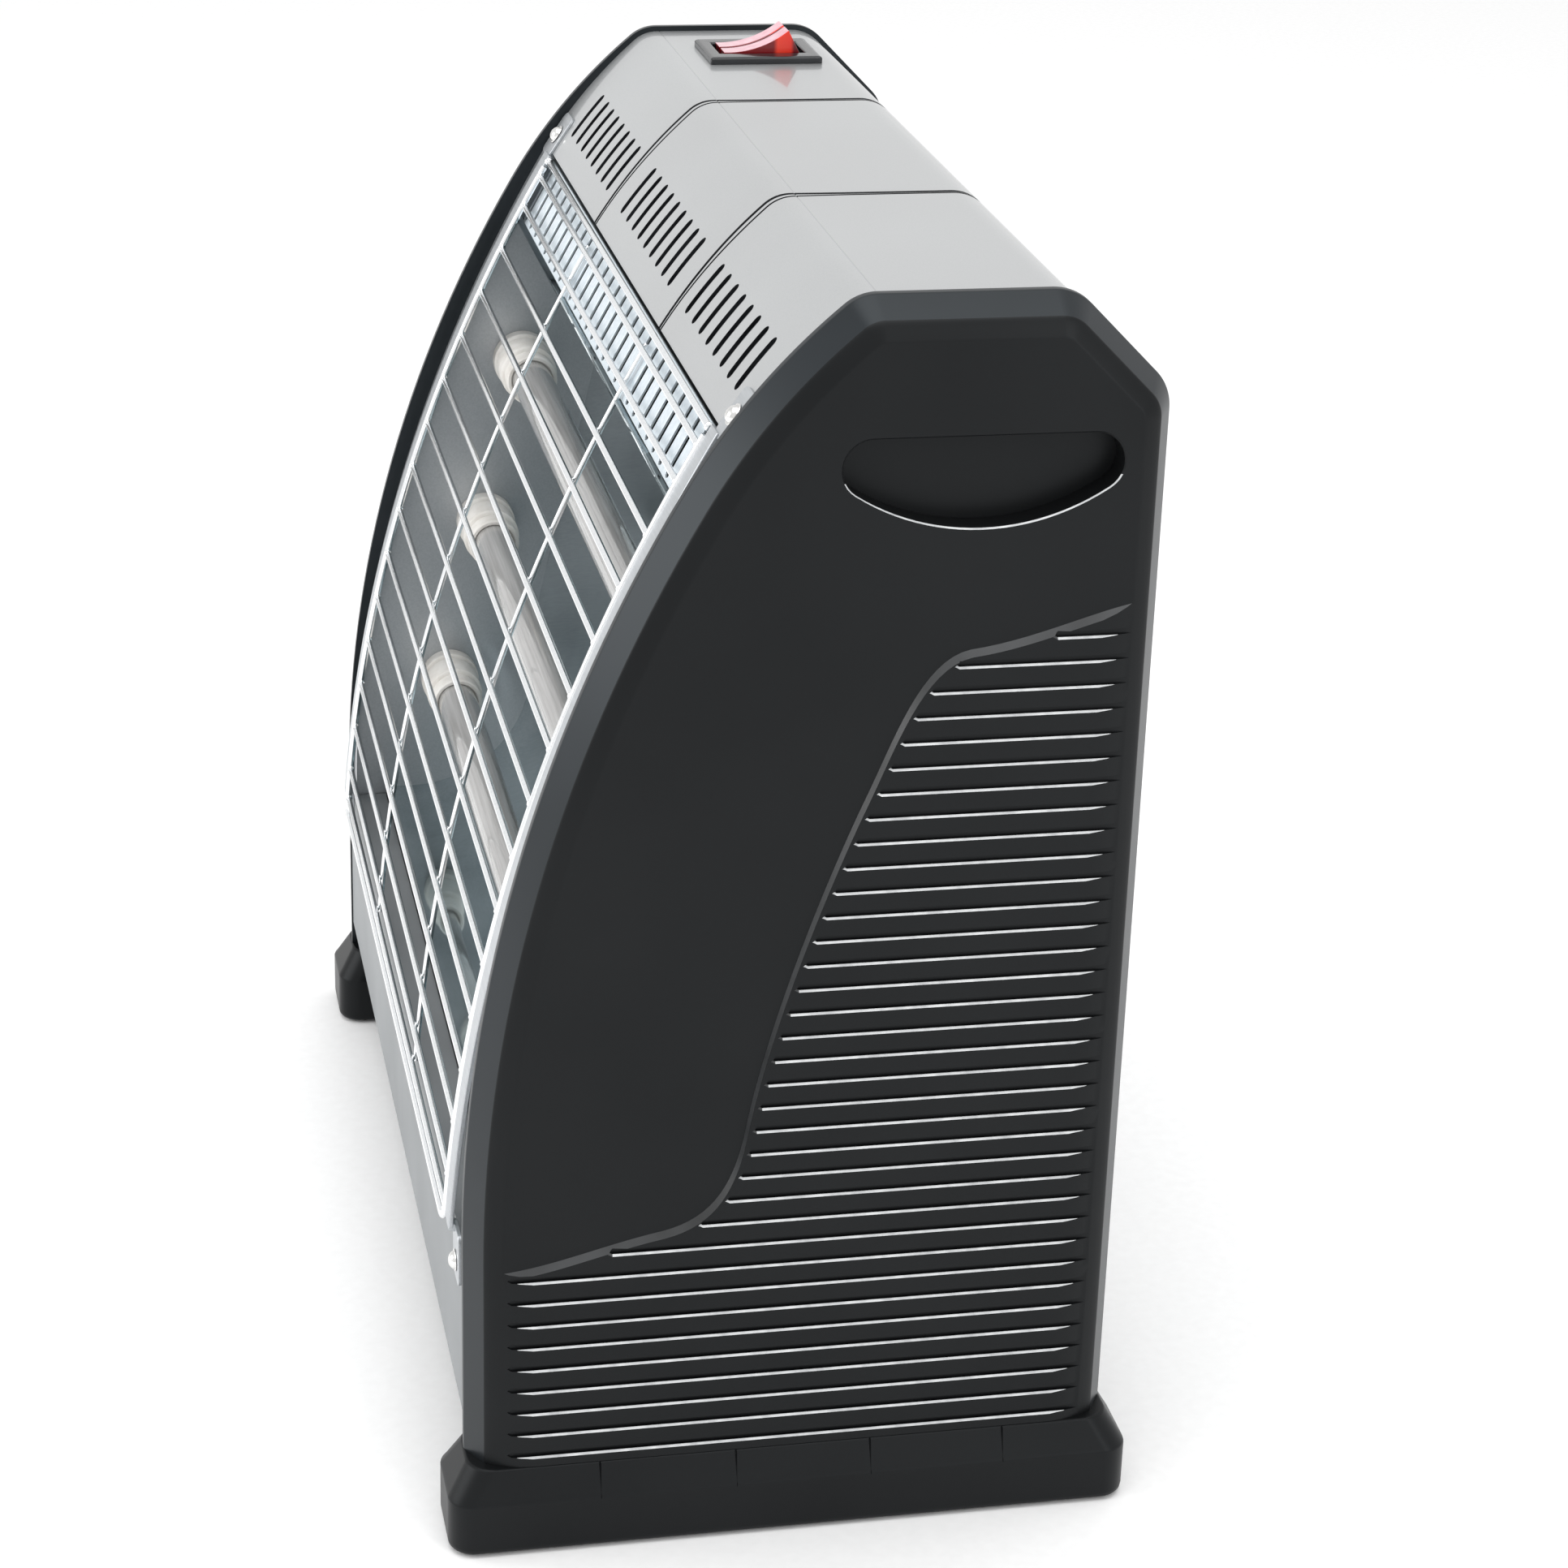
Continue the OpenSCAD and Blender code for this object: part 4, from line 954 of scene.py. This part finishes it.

# ---- Guard ----
# Mild steel wires spot-welded into one curved grid, then nickel-chrome plated: a frame wire,
# cross wires 17 mm apart, and two uprights behind them. A bright strip clamps each end.

# Chrome plate over drawn wire: nearly white, with small pits at 0.8 mm that break up the
# highlights.
chrome, tree, shader, place = finish("chrome plated wire", {"Metallic": 1.0})
pits = add(tree, "TexNoise", {"Scale": 1 / 0.0008, "Detail": 3.0}, {"Vector": place})
tint = add(
    tree, "ValToRGB", {"stops": ((0.3, "#eceef0"), (0.7, "#f6f8f9"))}, {"Fac": pits.outputs["Fac"]}
)
gloss = add(tree, "MapRange", {"To Min": 0.14, "To Max": 0.22}, {"Value": pits.outputs["Fac"]})
join(tree, shader, tint, gloss)

deg_per_mm = degrees(1 / guard_radius)
guard_low, frame_half, frame_bend, frame_wire = 3.87, 155.6, 8, 1.2
corner = guard_low + frame_bend * deg_per_mm
half_frame = [(frame_half, 29.8 - (29.8 - corner) * i / 60) for i in range(61)]
for t in range(10, 91, 10):
    x = frame_half - frame_bend + frame_bend * cos(radians(t))
    half_frame.append((x, corner - frame_bend * sin(radians(t)) * deg_per_mm))
frame_path = half_frame + [(120 - 40 * i, guard_low) for i in range(7)]
frame_path += [(-x, a) for x, a in half_frame[::-1]]
wire = swept([(x, *on_guard(a)) for x, a in frame_path], frame_wire, 20)
fit(solid("guard_frame_wire_bent", *wire, chrome, 60), ["guard_frame_wire"])

cross_angles = [28.24 - 1.743 * i for i in range(14)] + [29.45, 30.05, 4.4]
rod_profile = [(-154.6, 0.7), (-154, 1), (154, 1), (154.6, 0.7)]
end_weld = ((-0.9, 0.5), (-0.5, 1.2), (0, 1.42), (0.5, 1.2), (0.9, 0.5))
upright_weld = ((-1.2, 0.2), (-0.8, 0.75), (0, 0.98), (0.8, 0.75), (1.2, 0.2))
rod_end, upright_x = 154.6, 57
rods, welds = [], []
for a in cross_angles:
    y, z = on_guard(a)
    rods.append(turned(rod_profile, y, z, 24))
    for x in (-rod_end, rod_end):
        welds.append(turned([(x + dx, r) for dx, r in end_weld], y, z, 16))
    if a < 29.5:
        y, z = on_guard(a, -0.95)
        for x in (-upright_x, upright_x):
            welds.append(turned([(x + dx, r) for dx, r in upright_weld], y, z, 12))
grid = solid("guard_cross_wires_welded", *joined(rods + welds), chrome, 50)
fit(grid, ["guard_cross_wires"])
rise = [on_guard(4.3 + 25.3 * i / 70, -1.93) for i in range(71)]
uprights = joined([swept([(x, *p) for p in rise], 0.9, 16) for x in (-upright_x, upright_x)])
pair = solid("guard_upright_wires_bent", *uprights, chrome, 60)
fit(pair, ["guard_upright_wires"])


def strip_loop(angle, x0, x1, low, high):
    """The strip's rounded section at an angle on the guard's curve."""
    return [(x, *on_guard(angle, up)) for x, up in rounded(x0, x1, low, high, 0.45, 5)]


def tab(low, high, thick, place_at):
    """A thin tab with rounded corners, set by a function of (x, along, up)."""
    loop = rounded(160, 173, low, high, 2.5, 7)
    return loft([[place_at(x, a, up) for x, a in loop] for up in (0.02, thick - 0.2, thick)])


strip = loft([strip_loop(4.3 + 25.9 * i / 60, 156.9, 165.4, -1.1, 0.5) for i in range(61)])
top_tab = tab(-2.2, 14, 1.0, lambda x, a, up: on_cover(x, 32, 0, a, up))
low_tab = tab(80, 97, 1.2, lambda x, a, up: (x, -97.5 - up, a))
joggle_line = [(-97.5, 94.5), (-100.6, 95.4), (-100.6, 97.4), (-98.9, 97.4), (-97.5, 96.2)]
joggle = prism(joggle_line, 160, 165.2)
clamp = joined([strip, top_tab, low_tab, joggle])
for side in ("right", "left"):
    piece = solid("guard_clamp_strip_" + side, *handed(side, clamp), rolled, 35)
    fit(soften(piece, 0.15, 35, 1), ["guard_strip_" + side])

# ---- Screws ----
# Dome-head screws with a thin flange hold the guard, and pan-head screws with a cross recess hold
# the rear cover. All are steel with a bright nickel plate.

nickel, tree, shader, place = finish("nickel plated screw steel", {"Metallic": 1.0})
wipe = add(tree, "TexNoise", {"Scale": 1 / 0.0015, "Detail": 4.0}, {"Vector": place})
tint = add(
    tree, "ValToRGB", {"stops": ((0.3, "#dcdcda"), (0.7, "#ecebe9"))}, {"Fac": wipe.outputs["Fac"]}
)
gloss = add(tree, "MapRange", {"To Min": 0.1, "To Max": 0.3}, {"Value": wipe.outputs["Fac"]})
join(tree, shader, tint, gloss)


def flanged_screw(place_at):
    """A smooth dome-head screw with a thin flange, as holds the guard."""
    angles = [radians(t) for t in (12, 25, 40, 55, 70, 82)]
    dome = [(2.2 * sin(a), 0.2 + 2.6 * cos(a)) for a in angles]
    flange = [(0.05, 3.2), (0.25, 3.45), (0.45, 3.3), (0.5, 2.9)]
    profile = [(-5, 0.01), (-5, 1.4), (0.05, 1.5)] + flange + dome + [(2.2, 0.01)]
    points, faces = turned(profile, 0, 0, 48)
    return [place_at(y, z, x) for x, y, z in points], faces


def screw(place_at, head, height, shank):
    """A pan-head screw and its cross recess, set by a function of (x, y, up)."""
    r = head / 2
    profile = [(-shank, 0.01), (-shank, 1.4), (0.05, 1.5), (0.05, r - 0.1), (0.5, r)]
    for t in (25, 40, 55, 70, 82):
        crown = height * sin(radians(t)) ** 0.8 * 0.999
        profile.append((crown, r * cos(radians(t * 0.98))))
    points, faces = turned(profile + [(height, 0.01)], 0, 0, 40)
    body = ([place_at(y, z, x) for x, y, z in points], faces)
    cross = []
    for w, l in ((0.45, 1.7), (1.7, 0.45)):
        deep = [(-w, -l), (w, -l), (w, l), (-w, l)]
        rows = ((height - 1.3, 0.55), (height + 0.6, 1.15))
        cross.append(loft([[place_at(a * k, b * k, up) for a, b in deep] for up, k in rows]))
    return body, cross


def set_screws(name, node, places, head, height, shank):
    """One piece of several screws."""
    made = [screw(p, head, height, shank) for p in places]
    piece = solid(name, *joined([m[0] for m in made]), nickel, 35)
    carve(piece, [c for m in made for c in m[1]])
    fit(piece, [node])


guard_screws = (-166.2, 166.2)
guard_places = [lambda a, b, up, x=x: on_cover(x, 34, a, b, up + 1) for x in guard_screws]
guard_places += [lambda a, b, up, x=x: (x + a, -98.7 - up, 86 + b) for x in guard_screws]
domes = solid("guard_dome_screws", *joined([flanged_screw(p) for p in guard_places]), nickel, 35)
fit(domes, ["guard_screws"])
rear_x, rear_y = 159, 96.264
rear_places = [
    lambda a, b, up, s=s, z=z: (s * rear_x + a, rear_y + up, z + b)
    for s in (-1, 1)
    for z in (80, 200, 320)
]
set_screws("rear_pan_screws", "rear_cover_screws", rear_places, 6.6, 2.2, 6)
dress(["panel_screws", "foot_screws", "rocker_pin", "tilt_switch_pin"], nickel)

# ---- Rocker switch ----
# A snap-in switch: a glossy black nylon bezel round a translucent red polycarbonate rocker,
# rear end up, with a small neon lamp below it that would light it when on.

# Glass-filled nylon, moulded in a polished tool: black with a clear blue-grey sheen.
nylon, tree, shader, place = finish(
    "polished moulded nylon",
    {"IOR": 1.53, "Specular IOR Level": 0.3, "Coat Weight": 0.35, "Coat Roughness": 0.06},
)
flow = add(tree, "TexNoise", {"Scale": 1 / 0.01, "Detail": 2.0}, {"Vector": place})
tint = add(
    tree,
    "ValToRGB",
    {"stops": ((0.35, "#0d1013"), (0.65, "#14181c"))},
    {"Fac": flow.outputs["Fac"]},
)
gloss = add(tree, "MapRange", {"To Min": 0.18, "To Max": 0.28}, {"Value": flow.outputs["Fac"]})
join(tree, shader, tint, gloss)


def bezel_loop(half_x, half_y, z, radius=0.8):
    """A rounded rectangle round the switch's middle at height z."""
    loop = plan(-half_x, half_x, half_y, radius, z)
    return [(x + switch_x, y + switch_y, z) for x, y, z in loop]


bezel_rows = (
    (16, 19.4, 376.6),
    (16, 19.4, 378.2),
    (15.8, 19.2, 378.6),
    (15.3, 18.7, 378.9),
    (14.6, 18.0, 379.0),
    (9.7, 15.4, 379.0, 0.6),
    (9.3, 15.0, 378.8, 0.6),
    (9.0, 14.7, 378.2, 0.6),
    (8.9, 14.6, 365.2, 0.6),
)
bezel = loft([bezel_loop(*row) for row in bezel_rows])
body_block = loft([bezel_loop(12, 16, z) for z in (354.6, 365.0, 376.5)])
switch = solid("switch_bezel", *joined([bezel, body_block]), nylon, 35)
fit(soften(switch, 0.2, 40), ["switch_housing"])

# Polycarbonate dyed red, a little translucent, carrying a painted glow and painted shade.
red, tree, shader, place = finish(
    "translucent red polycarbonate",
    {
        "IOR": 1.58,
        "Roughness": 0.16,
        "Specular IOR Level": 0.5,
        "Transmission Weight": 0.1,
        "Subsurface Weight": 0.15,
        "Subsurface Scale": 0.002,
    },
)
# Painted by position along Y: dark red shade in front, a bright orange glow band near the back.
along = add(tree, "SeparateXYZ", links={"Vector": place})
glow = add(tree, "MapRange", {"From Min": 0.046, "From Max": 0.056}, {"Value": along.outputs["Y"]})
tint = add(
    tree,
    "ValToRGB",
    {"stops": ((0.1, "#7d0a12"), (0.25, "#f0402a"), (0.7, "#e8301e"), (0.82, "#6a0710"))},
    {"Fac": glow.outputs["Result"]},
)
join(tree, shader, tint)

# Painted reflection: the upward-facing faces of the dished top get a pinkish white for the pale
# room mirrored in them, except in the fine channel moulded along its middle.
top_painted_reflection, tree, shader, place = finish(
    "red polycarbonate top, painted reflection",
    {"IOR": 1.58, "Roughness": 0.12, "Coat Weight": 1.0, "Coat Roughness": 0.05},
)
reflection_noise = add(tree, "TexNoise", {"Scale": 1 / 0.004, "Detail": 2.0}, {"Vector": place})
tint = add(
    tree,
    "ValToRGB",
    {"stops": ((0.3, "#cf7f92"), (0.7, "#e3a9b6"))},
    {"Fac": reflection_noise.outputs["Fac"]},
)
join(tree, shader, tint)

# Left from the tool, unpolished, the channel has a soft sheen; its deep wine red is painted shade.
channel_painted_shade, tree, shader, place = finish(
    "red polycarbonate channel, painted shade", {"IOR": 1.58, "Roughness": 0.3}
)
depth = add(tree, "TexNoise", {"Scale": 1 / 0.004, "Detail": 1.0}, {"Vector": place})
tint = add(
    tree, "ValToRGB", {"stops": ((0.3, "#4a0518"), (0.7, "#620a24"))}, {"Fac": depth.outputs["Fac"]}
)
join(tree, shader, tint)

hub_y, hub_z = switch_y, 375.788
half_key, sag, key_top = 11.7, 2.1, 7.4
dish = (half_key**2 + sag**2) / (2 * sag)
sweep = asin(half_key / dish)
side = [(-13.2, -1.6)]
for k in range(21):
    t = -sweep + 2 * sweep * k / 20
    side.append((dish * sin(t), key_top - sag + dish - dish * cos(t)))
side += [(13.2, -1.6), (6.6, -6.4), (-6.6, -6.4)]
tip = radians(18)
rocker = []
for u, v in side:
    y = hub_y + u * cos(tip) - v * sin(tip)
    rocker.append((y, hub_z + u * sin(tip) + v * cos(tip)))
deep = [(hub_y + (y - hub_y) * 0.93, hub_z + (z - hub_z) * 0.93) for y, z in rocker]
rows = []
for x in (-142.5, -135.1, -134.8, -133.2, -132.9, -125.5):
    line = deep if abs(x - switch_x) < 0.9 else rocker
    rows.append([(x, y, z) for y, z in line])
key = solid("red_rocker_key", *loft(rows), red, 30)
key.data.materials.append(top_painted_reflection)
key.data.materials.append(channel_painted_shade)
top_reflection_index, shaded_channel_index, channel_half = 1, 2, 0.9
# Painted by face: the top faces get the painted reflection, the channel the painted shade.
for face in key.data.polygons:
    if face.normal.z > 0.6 and abs(face.normal.x) < 0.3:
        in_channel = abs(face.center.x * 1000 - switch_x) < channel_half
        face.material_index = shaded_channel_index if in_channel else top_reflection_index
fit(soften(key, 0.6, 30, 3), ["switch_rocker"], "rocker")

# ---- Parts inside the casing ----
# The tip-over switch, thermal cut-out, terminal block and sleeved leads are bought-in parts, seen
# only through the vents. The gland in the rear cover is rubber, like the pads.

# Neon lamp: a drawn soda glass bulb, clear, tinted warm orange as a painted glow of the lit gas.
lamp_glass_painted_glow, tree, shader, place = finish(
    "neon lamp glass, painted orange glow", {"IOR": 1.5, "Roughness": 0.05, "Transmission Weight": 0.7}
)
glow_noise = add(tree, "TexNoise", {"Scale": 1 / 0.002}, {"Vector": place})
tint = add(
    tree,
    "ValToRGB",
    {"stops": ((0.3, "#ff9a5a"), (0.7, "#ffb27a"))},
    {"Fac": glow_noise.outputs["Fac"]},
)
join(tree, shader, tint)
dress(["switch_lamp"], lamp_glass_painted_glow)

# Phenolic, moulded under heat: ivory and satin, faintly clouded by its filler.
ivory, tree, shader, place = finish("moulded ivory phenolic", {"IOR": 1.55})
marble = add(tree, "TexNoise", {"Scale": 1 / 0.012, "Detail": 4.0}, {"Vector": place})
tint = add(
    tree,
    "ValToRGB",
    {"stops": ((0.3, "#cbc4ad"), (0.7, "#d9d3bf"))},
    {"Fac": marble.outputs["Fac"]},
)
gloss = add(tree, "MapRange", {"To Min": 0.35, "To Max": 0.5}, {"Value": marble.outputs["Fac"]})
join(tree, shader, tint, gloss)
dress(["tilt_switch_case"], ivory)
dress(["terminal_block"], steatite)
dress(["thermal_cutout"], nylon)
dress(["cable_gland"], rubber)

# Glass fibre, braided over the leads: matt cream, with a weave of 0.8 mm.
sleeve, tree, shader, place = finish(
    "braided glass sleeving", {"Roughness": 0.8, "Sheen Weight": 0.2}
)
braid = add(tree, "TexVoronoi", {"Scale": 1 / 0.0008}, {"Vector": place})
tint = add(
    tree,
    "ValToRGB",
    {"stops": ((0.1, "#d8d2c4"), (0.6, "#a9a294"))},
    {"Fac": braid.outputs["Distance"]},
)
skin = add(
    tree, "Bump", {"Strength": 0.6, "Distance": 0.0002}, {"Height": braid.outputs["Distance"]}
)
join(tree, shader, tint, skin=skin)
dress(["internal_wiring"], sleeve)
